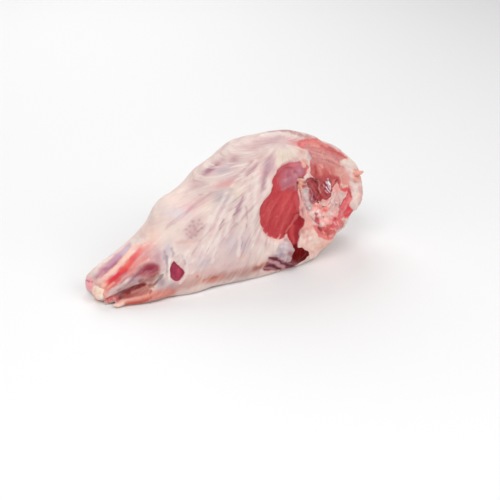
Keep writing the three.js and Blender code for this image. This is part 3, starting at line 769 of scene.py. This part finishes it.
# A pale line along the shank's top edge: a painted highlight
streak([(86, 279), (96, 268.4), (108, 257), (122, 243), (132, 234)], 2.2, "f2ddd4", 0.8, rise=0.3)
streak([(99, 283.6), (103.4, 280), (108, 275.4), (113, 270.6), (118.4, 265.4), (123.4, 260.4), (128, 255.2),
        (132.6, 249.6), (137, 245)], (2.2, 2), "f7c8b5", 0.9, rise=0.9)
blush((101, 281), (5, 3), "f9d6c4", 0.8, 42)
streak([(104, 287.4), (109.6, 282.4), (116, 276.4), (122.4, 270.6), (128.6, 264.6), (134, 259),
        (138.6, 253.4), (141.6, 249.4)], (2.8, 3.4), "ea6e68", 0.85)
streak([(106.6, 284.6), (112, 280), (118, 275), (124.6, 270)], (2.4, 3), "d62c3e")
streak([(121, 270.6), (127, 265.4), (132.6, 260)], (2.4, 3), "e8544e", 0.8)
streak([(133, 260), (137, 255), (140, 250.4)], (2.6, 2.2), "e25a62", 0.75)
blush((128, 262), (4, 1.8), "f38a70", 0.6, 44)
blush((134, 266), (5, 2.4), "e88076", 0.6, 44)
streak([(103, 286.4), (106, 283)], 2, "ee6a55", 0.8)
streak([(101, 281.4), (106.4, 276.4), (112, 271.2), (118, 265.4), (124, 259.4)], 1.2, "f8ccb8", 0.7)
blush((146, 248), (9, 5), "eea69c", 0.8, 30)
blush((147, 258), (9, 6), "d98a8a", 0.85, 40)
blush((158, 255), (5, 7), "c598a2", 0.75)
for stroke in (
        ([(113, 284.6), (119, 279.6), (125, 274.6), (131, 270)], 2.4, "bd505a", 0.75),
        ([(104.6, 294), (109, 288.4), (115, 283.6), (120, 280)], (2.4, 2), "d4645a", 0.85),
        ([(108, 288), (114, 283)], 1, "efa793", 0.7, 0.3),
        ([(119, 283.6), (126, 277.6), (133, 271.4), (139, 266)], 1.7, "e09a94", 0.85, 0.5),
        ([(137, 266.6), (142, 263), (148, 260.4)], 1.6, "ecb4a8", 0.6, 0.4),
        ([(121, 282.6), (127, 278), (133, 274)], 1, "a06c78", 0.45, -0.4),
        ([(129, 272), (136, 265.4), (143, 259)], 2.2, "e08a82", 0.7)):
    streak(*stroke)
blush((158, 260), (5, 5), "bf8e96", 0.6)
stain([(128, 281), (134, 273.6), (140, 268), (146, 263.6), (153, 262.4), (159, 265), (159.6, 270),
       (156, 274.4), (150, 276.4), (143, 276.6), (137, 278.4)], "a0444f", 2.8, 0.92, rise=0.5)
blush((150, 268), (9, 4.4), "8c2640", 0.85, 10)
blush((136, 275), (5, 2), "a0606c", 0.6, 40)
streak([(138, 278), (147, 275.6), (156, 274)], 1.7, "b8646a", 0.75)
stain([(111, 295.4), (117, 289.6), (122, 284.8), (129, 280.4), (136, 277.6), (143, 277.4), (143, 281),
       (136, 284.4), (129, 287.4), (122, 291.4), (116, 295.4)], "b08a8c", 2.2, 0.92, rise=0.6, wet=0.2)
for stroke in (
        ([(131, 281.6), (137, 279.4), (141, 279.6)], 1.7, "b49aa0", 0.8),
        ([(113, 294), (120, 289), (128, 284)], 1.1, "cfaaa2", 0.6, 0.3),
        ([(118, 290), (126, 284.4), (133, 280)], 1, "7e565c", 0.5, -0.3),
        ([(141, 281.6), (149, 279.4), (158, 275.4)], (2.2, 3.4), "94544e", 0.85),
        ([(142, 286), (149, 284), (155, 281.4)], 1.6, "b8766a", 0.7, 0.3),
        ([(150, 283), (157, 279.6), (162, 275.6)], 1.2, "ad7a72", 0.6)):
    streak(*stroke)
stain([(102.6, 300.6), (108, 298), (114, 295.4), (121, 291.4), (128, 287.6), (136, 284.6), (144, 282.6),
       (147.6, 284.6), (141, 290.6), (131, 294.8), (123, 298.6), (116, 302.6), (109, 305), (104, 303.6)],
      "7c1a26", 2, 0.97, rise=-0.9, wet=0.2)
streak([(104, 302.4), (109, 301), (115, 298.8)], 3, "c4283c", 0.9, wet=0.5)
for x, y in ((105.6, 301.4), (109.6, 301), (114, 298.6)):
    streak([(x, y), (x + 0.6, y + 0.5)], 0.7, "e08a86", 0.7, rise=0.3)
streak([(129, 289.6), (136, 287), (144, 284.2)], 1.6, "8a3a38", 0.7)
# The dark lines from (127, 296) to (163, 275), and the grey cloud at (160, 281), are painted shade in the
# crease of the heel fold
streak([(127, 296), (134, 293.4), (142, 290), (150, 286)], (1.6, 1.8), "a05048", 0.75, rise=-0.8)
streak([(150, 286.8), (156, 282.8), (160, 278.8), (163, 275)], (1.5, 1.3), "5e3a34", 0.75, rise=-0.8)
blush((160, 281), (4, 1.6), "8a7078", 0.7, 44)
streak([(121, 300), (130, 297.2), (140, 294), (148, 290)], 0.9, "a8584c", 0.55, rise=-0.5)
streak([(132, 292.4), (140, 289.4), (147, 286.4)], 1.1, "c8867a", 0.7, rise=0.4)
streak([(147, 289), (152, 286), (156, 283)], 1.2, "c07c6c", 0.65, rise=0.4)
blush((154, 287.4), (1.8, 1), "c98c5e", 0.8)

# The loose fold of heel skin, and the flesh beside it
stain([(109, 305.4), (114, 301.8), (122, 300.2), (127, 303), (122, 309.6), (110, 311)], "fbd3c3", 3.4, 0.95,
      rise=0.4)
stain([(124, 303), (131, 299.4), (141, 296), (150, 291.6), (160, 289), (170, 288), (178, 290.6), (166, 301),
       (148, 308.6), (130, 310.6), (124.6, 308)], "cf7868", 4, 0.92)
for stroke in (
        ([(124, 297.4), (133, 295.6), (143, 293.6), (150, 291)], 2, "b2564c", 0.7),
        ([(126, 305), (137, 303.4), (147, 301.6)], (2, 3), "c8564a", 0.8),
        ([(118, 302.4), (127, 300.4), (138, 297.8), (148, 294.6)], 1.1, "e59c8a", 0.75, 0.5),
        ([(150.6, 291.6), (150, 295), (151.4, 299)], 1.2, "ae5746", 0.6, -0.4),
        ([(145, 297.4), (150, 295.4), (155, 292.6)], 1.5, "e59c8a", 0.65, 0.4),
        ([(154, 299), (161, 296), (169, 291.6)], 2, "dd9684", 0.75, 0.4),
        ([(124, 308), (138, 307.6), (152, 303)], 1.4, "d07c6a", 0.7)):
    streak(*stroke)
# A grey cloud in the hollow at the fold's end: painted shade
blush((162, 284), (6, 4.6), "97868f", 0.8, 40, rise=-0.7)
blush((172, 285), (5, 3), "b09ca4", 0.6, 20)

# The small window on the calf, with a lip of fat on its left
trim([(173, 260.6), (176, 263.6), (181, 267.6), (185, 273), (181.6, 278.4), (176.4, 281.6), (172, 278.6),
      (169.6, 272.6), (171, 266)], "9d3850", edge=1.4, rise=-0.7, spread=3)
tint([(176, 266), (181, 270), (182, 276), (177, 276)], "b2455a", 2, 0.8)
streak([(169.4, 260), (168.6, 266), (168.6, 273), (170, 280)], 1.2, "eee2de", 0.8, rise=1.1, bare=0)
# Thin grey-lilac lines in the grooves by the lip: painted shadows
streak([(167, 257), (166.6, 264), (167, 272)], 1.1, "937684", 0.6, rise=-0.8)
streak([(164.4, 252), (165, 259)], 1.5, "a897a6", 0.6, rise=-0.4)
streak([(172, 249), (172.6, 257)], 1.4, "9f8e9c", 0.55, rise=-0.5)
streak([(185, 259), (187.4, 268), (185.6, 277), (180, 283)], 1.3, "e8d9d4", 0.5, rise=0.6)
streak([(183, 256), (184.6, 264)], 1.2, "b9a4ad", 0.5, rise=-0.3)

# The sawn end: the pink muscle ends with their dark vessels
stain([(83, 286), (84, 279.6), (88, 276), (94, 277.6), (96.6, 282), (94, 289), (88, 291)], "ffb2b8", 2.6,
      0.95)
for cloud in (
        ((88.6, 287.6), (2.6, 2.6), "fb9ea6", 0.6), ((85, 278), (4, 2), "f6c9c6", 0.7, 50),
        ((103, 285), (4, 4), "fbcfba", 0.9, 40), ((94.6, 293), (2.4, 4), "f6cfc0", 0.9, 20),
        ((105, 293), (3, 5), "f6b7a2", 0.9, 40), ((96, 281), (4, 2.4), "fbd0c2", 0.85, 40)):
    blush(*cloud)
stain([(98, 302), (104, 303), (110, 305), (107, 308), (100, 307)], "f6c2b0", 1.6, 0.85)
for spot in ((86.6, 280.6), (88.6, 281.4), (92.2, 281.6)):
    blush(spot, (1.2, 0.9), "8a4a6a", 0.7)
blush((197.6, 276.4), (1.2, 1.8), "cb5f4c", 0.85, -30)
streak([(204, 280.8), (210, 279.6), (216, 277)], 1.3, "b1463e", 0.8)
streak([(199, 282), (212, 280.6), (222, 276.4)], 1.8, "d98d78", 0.6)


def store(piece, name, values):
    """Keeps numbers or colours on a piece's points, for its material to read."""
    if values.ndim == 1:
        layer = piece.data.attributes.new(name, "FLOAT", "POINT")
        layer.data.foreach_set("value", values.astype(np.float32))
        return
    layer = piece.data.attributes.new(name, "FLOAT_COLOR", "POINT")
    whole = np.hstack([values, np.ones((len(values), 1))])
    layer.data.foreach_set("color", whole.astype(np.float32).ravel())


# The cut face is rough all over, and its bared muscle lies a little lower than the fat round it
crag = ease(skin.places[:, 0], 296, 304) * ease(skin.places[:, 0], 366, 360) * skin.shown
skin.rise += crag * (0.35 * ripple(skin.points, 6 * MM, 41) + 0.15 * ripple(skin.points, 3.2 * MM, 42))
skin.rise -= 0.8 * skin.bare
pink_edge = ease(skin.bare, 0.02, 0.4) * (0.5 - 0.3 * skin.firm)
skin.fat += (linear("e2a69e") - skin.fat) * pink_edge[:, None]
for layer in ("fat", "lean", "bare", "wet", "firm", "thin"):
    store(meat, layer, getattr(skin, layer))


def carve(piece):
    """Gives a piece the relief that was laid on its skin, and keeps it above the floor."""
    carved = skin.points + skin.normals * skin.rise[:, None] * MM
    carved[:, 2] = np.maximum(carved[:, 2], 0)
    move_points(piece, carved)


carve(meat)


def place(tree, kind, inputs=None, **settings):
    """Adds a shader node. Its inputs are filled with values, or linked where a socket is given."""
    node = tree.nodes.new(kind)
    for name, value in settings.items():
        setattr(node, name, value)
    for name, value in (inputs or {}).items():
        if isinstance(value, bpy.types.NodeSocket):
            tree.links.new(value, node.inputs[name])
        else:
            node.inputs[name].default_value = value
    return node


def new_group(name, inputs, output):
    """An empty shader group, with its input sockets' outlets and its output's inlet."""
    tree = bpy.data.node_groups.new(name, "ShaderNodeTree")
    for socket, kind, value in inputs:
        made = tree.interface.new_socket(socket, in_out="INPUT", socket_type=kind)
        if value is not None:
            made.default_value = value
    tree.interface.new_socket(output, in_out="OUTPUT", socket_type="NodeSocketFloat")
    return tree, tree.nodes.new("NodeGroupInput").outputs, tree.nodes.new("NodeGroupOutput").inputs[0]


def maths(tree, operation, a, b=0.0):
    return place(tree, "ShaderNodeMath", {0: a, 1: b}, operation=operation).outputs[0]


def vector_maths(tree, operation, a, b):
    return place(tree, "ShaderNodeVectorMath", {0: a, 1: b}, operation=operation).outputs[0]


def between(tree, value, low, high, to_low=0.0, to_high=1.0):
    """Eases a value from one range into another."""
    inputs = {"Value": value, "From Min": low, "From Max": high, "To Min": to_low, "To Max": to_high}
    return place(tree, "ShaderNodeMapRange", inputs, interpolation_type="SMOOTHSTEP").outputs[0]


def blend(tree, share, a, b, how="MIX"):
    """Mixes two colours by a share. The numbers are those of the mix node's colour sockets."""
    inputs = {0: share, 6: a, 7: b}
    return place(tree, "ShaderNodeMix", inputs, data_type="RGBA", blend_type=how).outputs[2]


def rgba(code):
    return (*linear(code), 1)


def noise(tree, where, scale, detail=2.0, roughness=0.5, distortion=0.0):
    inputs = {"Vector": where, "Scale": scale, "Detail": detail, "Roughness": roughness,
              "Distortion": distortion}
    return place(tree, "ShaderNodeTexNoise", inputs).outputs[0]


# Streaks that spread from a pole, as the membrane's fibres spread from the top of the rump
streaks_tree, given, outlet = new_group(
    "spread_streaks",
    [("Place", "NodeSocketVector", None), ("Across", "NodeSocketFloat", 14.0),
     ("Along", "NodeSocketFloat", 16.0)],
    "Streak")
moved = vector_maths(streaks_tree, "SUBTRACT", given["Place"], FOLD_POLE)
# On the far side the streaks wander, so that they don't all run straight to the pole
drift_noise = {"Vector": given["Place"], "Scale": 9.0, "Detail": 1.0}
wander = place(streaks_tree, "ShaderNodeTexNoise", drift_noise).outputs["Color"]
wander = vector_maths(streaks_tree, "SUBTRACT", wander, (0.5, 0.5, 0.5))
depth = place(streaks_tree, "ShaderNodeSeparateXYZ", {0: moved}).outputs[1]
drift = between(streaks_tree, depth, 0.0, 40 * MM, 0.0, 80 * MM)
drifted = {0: wander, "Scale": drift}
wander = place(streaks_tree, "ShaderNodeVectorMath", drifted, operation="SCALE").outputs[0]
moved = vector_maths(streaks_tree, "ADD", moved, wander)
parts = place(streaks_tree, "ShaderNodeSeparateXYZ", {0: moved}).outputs
down = maths(streaks_tree, "MULTIPLY", parts[2], -1.0)
turned = maths(streaks_tree, "MULTIPLY", maths(streaks_tree, "ARCTAN2", parts[0], down), given["Across"])
flat_way = place(streaks_tree, "ShaderNodeCombineXYZ", {0: parts[0], 2: parts[2]}).outputs[0]
reach = place(streaks_tree, "ShaderNodeVectorMath", {0: flat_way}, operation="LENGTH").outputs["Value"]
reached = maths(streaks_tree, "MULTIPLY", reach, given["Along"])
deep = maths(streaks_tree, "MULTIPLY", parts[1], given["Along"])
spread_place = place(streaks_tree, "ShaderNodeCombineXYZ", {0: turned, 1: reached, 2: deep}).outputs[0]
streaks_tree.links.new(noise(streaks_tree, spread_place, 1.0, 4.0, 0.6, 0.55), outlet)

# Fibres: fine grain that is drawn out along one way, by the size of one fibre
fibre_tree, given, outlet = new_group(
    "fibres",
    [(socket, "NodeSocketVector", None) for socket in ("Place", "Turn", "Size")],
    "Fibre")
along_fibre = {"Vector": given["Place"], "Rotation": given["Turn"], "Scale": given["Size"]}
drawn = place(fibre_tree, "ShaderNodeMapping", along_fibre, vector_type="TEXTURE").outputs[0]
fibre_tree.links.new(noise(fibre_tree, drawn, 1.0, 5.0, 0.62, 0.5), outlet)


def use_group(tree, group, inputs):
    return place(tree, "ShaderNodeGroup", inputs, node_tree=group).outputs[0]


def new_material(name, constants):
    """A material with its shader's own constants set, its nodes, and the piece's own coordinates."""
    material = bpy.data.materials.new(name)
    material.use_nodes = True
    tree = material.node_tree
    for socket, value in constants.items():
        tree.nodes["Principled BSDF"].inputs[socket].default_value = value
    return material, tree, tree.nodes.new("ShaderNodeTexCoord").outputs["Object"]


def attribute(tree, name, output="Fac"):
    return place(tree, "ShaderNodeAttribute", attribute_name=name).outputs[output]


def finish_look(piece, material, links, height, strength, distance):
    """Links a material's shader, roughens it by a height's bump, and puts it on the piece."""
    tree = material.node_tree
    shader = tree.nodes["Principled BSDF"]
    bump = place(tree, "ShaderNodeBump", {"Height": height, "Strength": strength, "Distance": distance})
    for socket, value in {**links, "Normal": bump.outputs[0]}.items():
        tree.links.new(value, shader.inputs[socket])
    piece.data.materials.clear()
    piece.data.materials.append(material)


# Raw meat: moist fat and membrane, whose edge over the bare muscle is frayed
flesh, tree, here = new_material("raw_flesh", {
    "Subsurface Weight": 0.15, "Subsurface Radius": (1.0, 0.35, 0.22), "Subsurface Scale": 3.0 * MM,
    "Specular IOR Level": 0.05, "Coat Roughness": 0.14, "Coat IOR": 1.35})
fray = noise(tree, here, 520.0, 5.0, 0.65)
fray = maths(tree, "MULTIPLY", maths(tree, "SUBTRACT", fray, 0.5), 0.6)
frayed = maths(tree, "ADD", attribute(tree, "bare"), fray)
lean_share = between(tree, frayed, 0.2, 0.66)
wide_streak = use_group(tree, streaks_tree, {"Place": here, "Across": 13.0, "Along": 15.0})
fine_streak = use_group(tree, streaks_tree, {"Place": here, "Across": 40.0, "Along": 28.0})
blotch = noise(tree, here, 42.0, 4.0, 0.6, 0.4)
fat_colour = attribute(tree, "fat", "Color")
firm = attribute(tree, "firm")
fat_veil = maths(tree, "SUBTRACT", 1.0, maths(tree, "MULTIPLY", firm, 0.55))
veil = maths(tree, "SUBTRACT", 1.0, maths(tree, "MULTIPLY", firm, 0.8))
for grain, low, high, most, code in (
        (wide_streak, 0.52, 0.72, 0.5, "b1848f"), (wide_streak, 0.46, 0.3, 0.5, "f4e6da"),
        (fine_streak, 0.55, 0.78, 0.34, "b98089"), (fine_streak, 0.44, 0.26, 0.5, "f8eee6"),
        (blotch, 0.55, 0.8, 0.45, "d9979a")):
    share = maths(tree, "MULTIPLY", between(tree, grain, low, high, 0.0, most), fat_veil)
    fat_colour = blend(tree, share, fat_colour, rgba(code))
thread = use_group(tree, streaks_tree, {"Place": here, "Across": 70.0, "Along": 40.0})
thread = maths(tree, "SUBTRACT", thread, 0.5)
showing = maths(tree, "ADD", attribute(tree, "thin"), maths(tree, "MULTIPLY", thread, 1.9))
fat_colour = blend(tree, between(tree, showing, 0.35, 1.25, 0.0, 0.75), fat_colour, rgba("a67686"))
FIBRE_SIZE = Vector((1.3, 3, 11)) * MM
fibre = use_group(tree, fibre_tree, {"Place": here, "Turn": (0.0, 0.5, 0.0), "Size": FIBRE_SIZE})
marbling = maths(tree, "ABSOLUTE", maths(tree, "SUBTRACT", noise(tree, here, 120.0, 3.0, 0.5, 0.8), 0.5))
lean_colour = attribute(tree, "lean", "Color")
for grain, low, high, most, change in (
        (fibre, 0.5, 0.75, 0.9, (0.75, 0.55, 0.6, 1)), (fibre, 0.46, 0.25, 0.8, (1.15, 1.6, 1.55, 1)),
        (marbling, 0.012, 0.0, 0.35, (1.25, 2.4, 2.2, 1))):
    share = maths(tree, "MULTIPLY", between(tree, grain, low, high, 0.0, most), veil)
    lean_colour = blend(tree, share, lean_colour, change, "MULTIPLY")
wet = attribute(tree, "wet")
dull = between(tree, blotch, 0.3, 0.7, 0.38, 0.5)
pores = noise(tree, here, 900.0, 3.0, 0.6)
height = maths(tree, "MULTIPLY", fine_streak, 0.7)
for grain, share in ((pores, 0.25), (fibre, 0.35)):
    height = maths(tree, "ADD", height, maths(tree, "MULTIPLY", grain, share))
looks = {"Base Color": blend(tree, lean_share, fat_colour, lean_colour),
         "Roughness": maths(tree, "SUBTRACT", dull, maths(tree, "MULTIPLY", wet, 0.2)),
         "Coat Weight": maths(tree, "MULTIPLY", wet, 0.9)}
finish_look(meat, flesh, looks, height, 0.5, 0.9 * MM)
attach(meat, "root")
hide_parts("meat")

# The shin bone runs up inside the shank, and its knob shows at the sawn end. Its end is a pale
# cartilage cap, uneven where it was parted from the foot.
BONE_GRAIN = 0.8 * MM


def bone_piece(node, name, softening, pits):
    """A finished copy of a bone's solid, with an uneven surface."""
    piece = bpy.data.objects.new(name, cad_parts[node].data.copy())
    bpy.context.scene.collection.objects.link(piece)
    finish_skin(piece, BONE_GRAIN, softening)
    points = points_of(piece)
    uneven = 0.5 * ripple(points, 9 * MM, 21) + 0.2 * ripple(points, 3.5 * MM, 22)
    move_points(piece, points + normals_of(piece) * (uneven * pits * MM)[:, None])
    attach(piece, "root")
    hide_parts(node)
    return piece


shin_bone = bone_piece("shank_bone", "shin_bone", 10, 0.7)
skin = Skin(shin_bone, "fcd6c2", RED_MUSCLE)
blush((97, 290), (3.4, 4.4), "f2e2ca", 0.8, -20)
# The near-white cloud at (102, 296) is a painted highlight on the knob
blush((102, 296), (5, 3.4), "fff0e6", 0.8)
blush((99, 284), (5, 2.6), "ffcfc0", 0.85, 20)
blush((106, 291), (2.6, 5), "fbb39c", 0.85, 30)
blush((93, 288), (1.6, 5), "f9b9ac", 0.7, 20)
streak([(93, 295.6), (96.4, 299), (101, 300.8), (105, 301)], 1.3, "f3a793", 0.6)
streak([(96, 286), (101, 289), (104, 294)], 1.2, "ffe9d8", 0.5, rise=0.3)
blush((100, 292), (1.4, 1), "f2b6a0", 0.6)
blush((95.4, 294), (1.4, 1), "f0bba6", 0.5)
store(shin_bone, "fat", skin.fat)
carve(shin_bone)
cartilage, tree, here = new_material("cartilage", {
    "Subsurface Weight": 0.2, "Subsurface Radius": (1.0, 0.6, 0.4), "Subsurface Scale": 2.5 * MM,
    "Specular IOR Level": 0.35, "Coat Roughness": 0.2, "Coat Weight": 0.3})
mottle = noise(tree, here, 160.0, 4.0, 0.6)
rosy = between(tree, mottle, 0.5, 0.75, 0.0, 0.6)
colour = blend(tree, rosy, attribute(tree, "fat", "Color"), rgba("f2b8a4"))
looks = {"Base Color": colour, "Roughness": between(tree, mottle, 0.3, 0.7, 0.3, 0.5)}
finish_look(shin_bone, cartilage, looks, mottle, 0.25, 0.8 * MM)

# The hip bone was sawn and scraped, and lies in the cut face between the muscles. It is grey-white
# along its stem, and rose and red where its marrow and scraps of meat show.
hip_face = bone_piece("hip_bone", "hip_bone_face", 3, 1.8)
skin = Skin(hip_face, "dfb2aa", RED_MUSCLE)
stain([(294, 175), (303, 174), (304, 182), (303, 190), (294, 190)], "d98f7a", 1.6, 0.95)
stain([(301.6, 187), (302.4, 182.6), (305, 180), (309, 176), (314, 178), (314, 188), (308, 187.8),
       (303, 188)], "a8454b", 1.2, 0.97, wet=0.6)
streak([(300, 183.4), (304, 183.4), (307.4, 184)], 0.7, "e7ab9e", 0.75, rise=0.3)
blush((304.6, 181.6), (1.6, 1.2), "9a7c62")
blush((297.6, 183), (1.4, 1.6), "8c5648")
streak([(297, 180), (302, 178.6), (306, 179)], 1, "dfc2b2", 0.7)
streak([(298, 185), (301, 187.6), (301, 192)], 0.8, "eec4a6", 0.6)
streak([(297, 188), (299.6, 192)], 0.8, "b8523f", 0.6)
stain([(302.6, 187), (308, 186.6), (312, 192), (312, 200), (313, 207), (309, 212), (304, 208),
       (302.6, 198)], "cdb0ae", 1.8, 0.95)
blush((306, 191), (2, 2.4), "b7b2ac", 0.8)
blush((311, 206), (2.4, 2.4), "b7b1a4", 0.8)
blush((306.6, 200), (1.6, 4), "d4b0b2")
blush((304.4, 208), (1.8, 5), "c98f90")
blush((308, 209), (2, 2), "c49494", 0.6)
stain([(308.6, 187), (313, 186), (316, 196), (321, 203), (315, 205.6), (309.6, 202), (308.8, 194)],
      "9c3c4a", 1.6, 0.95, wet=0.5)
stain([(296.4, 190), (302, 189), (303, 200), (303.6, 212), (297, 212)], "cc7f7d", 2, 0.9)
blush((299, 194), (1.6, 3), "de9a8c")
stain([(313, 203), (320, 203.6), (329, 201), (329, 208), (326, 213), (318, 211), (312, 210)], "f4a096", 2,
      0.9)
blush((324, 206), (4.4, 2.8), "f7948a", 0.85)
blush((325.4, 210.4), (2.6, 1.5), "e0625e", 0.85)
blush((316, 206.4), (2, 1.6), "db9088", 0.6)
stain([(302, 211), (309, 212), (315, 210.6), (323, 213), (333, 212), (334, 217.6), (322, 218), (312, 217),
       (303, 217)], "f0b6ae", 1.8, 0.85)
stain([(328, 198), (338, 190), (342, 194), (337, 207), (332, 214), (328.6, 208)], "dcb2ac", 2, 0.9)
stain([(319, 217.6), (330, 217), (331, 225), (322, 228), (318, 223)], "f6b0aa", 2, 0.9)
stain([(329, 218), (337, 214.6), (342, 219), (336, 228), (329, 228)], "e66c70", 2, 0.9)
blush((326, 221), (3.4, 2.6), "fca6a4")
blush((336, 212), (1.8, 3), "eda29e", 0.8)
stain([(314.6, 217), (317, 215.6), (319.6, 219), (319.8, 224), (317, 225), (314.6, 221)], "b13a50", 1.2,
      0.9, rise=-0.3)
blush((318.6, 221), (1.2, 2.4), "e25c62", 0.9)
# Small spots on the sawn face: the near-white one at (329.8, 204.4) is a painted highlight, and the one at
# (318, 211.2) is a whitish bit brightened with a painted highlight
for x, y, radius, colour in (
        (305.6, 213.4, 1.1, "6a5654"), (316.4, 213.8, 1, "8a4448"), (323.4, 216.6, 1.2, "8e706c"),
        (327.6, 216.4, 1, "c2a48c"), (318, 211.2, 1.5, "fff2ee"), (329.8, 204.4, 1, "fbe9e4"),
        (312, 213, 1.8, "eadbd6"), (320.6, 214.6, 1.2, "fbe0da"), (335.6, 205.2, 1.4, "a08c8a"),
        (331, 221, 1, "f9c9c4"), (326, 220, 1.8, "f9d8d0"), (333.6, 224.6, 1, "f7b6b4"),
        (309, 208, 1, "e9dcd6"), (322, 201.6, 1.2, "e8b0a4"), (327, 199.8, 1.2, "c78a80")):
    blush((x, y), (radius, radius), colour, 0.9)
for centre, radii, colour in (
        ((335.6, 221), (2.4, 4), "e0484f"), ((325, 209.8), (3, 1.6), "dd5658"),
        ((322, 224), (2, 2.2), "ecd6cc"), ((328.4, 226), (2.4, 1.4), "f08e8a"),
        ((331.6, 213.6), (2.6, 1.4), "ece0d4"), ((320.4, 208.4), (1.5, 1.1), "c58a70"),
        ((312.6, 215), (2.4, 1.2), "cfb6b2"), ((327, 205), (2.4, 1.6), "ffa294"),
        ((309, 216), (3, 1.4), "e6c8be"), ((331.6, 201.6), (1.6, 2), "f4ddd8"),
        ((317, 213.6), (1.2, 1), "8c4a48"), ((321.6, 219.4), (1.6, 1.4), "f7c6ba")):
    blush(centre, radii, colour, 0.8)
streak([(333.6, 218), (334.4, 222), (333.2, 226)], 0.9, "b4343e", 0.85, rise=-0.6)
streak([(314.8, 212.6), (316.4, 214.6), (315.4, 217.6)], 0.7, "a04a4e", 0.7, rise=-0.4)
skin.rise += 0.35 * ripple(skin.points, 4 * MM, 44)
store(hip_face, "fat", skin.fat)
store(hip_face, "wet", skin.wet)
carve(hip_face)
sawn_bone, tree, here = new_material("sawn_bone", {
    "Subsurface Weight": 0.15, "Subsurface Radius": (1.0, 0.5, 0.4), "Subsurface Scale": 2.0 * MM,
    "Specular IOR Level": 0.25, "Coat Roughness": 0.16})
speck = noise(tree, here, 240.0, 5.0, 0.6)
cloud = noise(tree, here, 150.0, 4.0, 0.6, 0.8)
cloudy = between(tree, cloud, 0.5, 0.72, 0.0, 0.8)
colour = blend(tree, cloudy, attribute(tree, "fat", "Color"), (0.8, 0.6, 0.58, 1), "MULTIPLY")
colour = blend(tree, between(tree, speck, 0.44, 0.3, 0.0, 0.5), colour, rgba("f8e8e2"))
looks = {"Base Color": colour, "Roughness": between(tree, speck, 0.3, 0.7, 0.25, 0.45),
         "Coat Weight": between(tree, attribute(tree, "wet"), 0.0, 1.0, 0.3, 0.9)}
finish_look(hip_face, sawn_bone, looks, speck, 0.5, 0.8 * MM)

# The meat's lips close on both bones, so that no open crack is left round them
LIP_REACH = 3.0 * MM
LIP_GAP = 0.15 * MM


def close_on(bone, reach):
    """Draws the meat's points that lie within a reach of a bone toward it, up to a hair's breadth."""
    points = points_of(meat)
    around = points_of(bone)
    near = ((points > around.min(0) - reach) & (points < around.max(0) + reach)).all(1)
    near &= points[:, 2] > 0.5 * MM
    for i in np.flatnonzero(near):
        found, spot, _, _ = bone.closest_point_on_mesh(Vector(points[i]), distance=reach)
        if found:
            way = np.array(spot) - points[i]
            gap = np.linalg.norm(way)
            pull = 0.8 * (1 - ease(gap, 0.3 * reach, reach))
            points[i] += way * pull * max(0, 1 - LIP_GAP / max(gap, 1e-9))
    move_points(meat, points)


close_on(hip_face, LIP_REACH)
close_on(shin_bone, LIP_REACH)

# The floor and the light: a plain pale sweep under broad soft lamps
bpy.ops.object.select_all(action="DESELECT")
bpy.ops.mesh.primitive_plane_add(size=20, location=(0, 0, 0))
floor = bpy.context.active_object
floor.name = "floor"
floor_material = bpy.data.materials.new("floor")
floor_material.use_nodes = True
floor_shader = floor_material.node_tree.nodes["Principled BSDF"]
floor_shader.inputs["Base Color"].default_value = (0.87, 0.87, 0.87, 1)
floor_shader.inputs["Roughness"].default_value = 0.7
floor.data.materials.append(floor_material)


def softbox(name, spot, size, power):
    """A square lamp that shines at the leg."""
    data = bpy.data.lights.new(name, "AREA")
    data.size = size
    data.energy = power
    lamp = bpy.data.objects.new(name, data)
    lamp.location = spot
    lamp.rotation_euler = (Vector((0, 0, 0.05)) - Vector(spot)).to_track_quat("-Z", "Y").to_euler()
    bpy.context.scene.collection.objects.link(lamp)


softbox("key", (-0.6, -0.7, 1.5), 1.0, 13.2)
softbox("fill", (0.9, -1.1, 1.2), 1.2, 14)
softbox("back", (0.1, 1.2, 1.1), 1.2, 12)
softbox("side", (-1.3, -0.3, 0.6), 0.9, 2.3)
world = bpy.data.worlds.new("studio")
world.use_nodes = True
world.node_tree.nodes["Background"].inputs["Color"].default_value = (1, 1, 1, 1)
world.node_tree.nodes["Background"].inputs["Strength"].default_value = 0.25
bpy.context.scene.world = world
bpy.context.scene.view_settings.view_transform = "Standard"
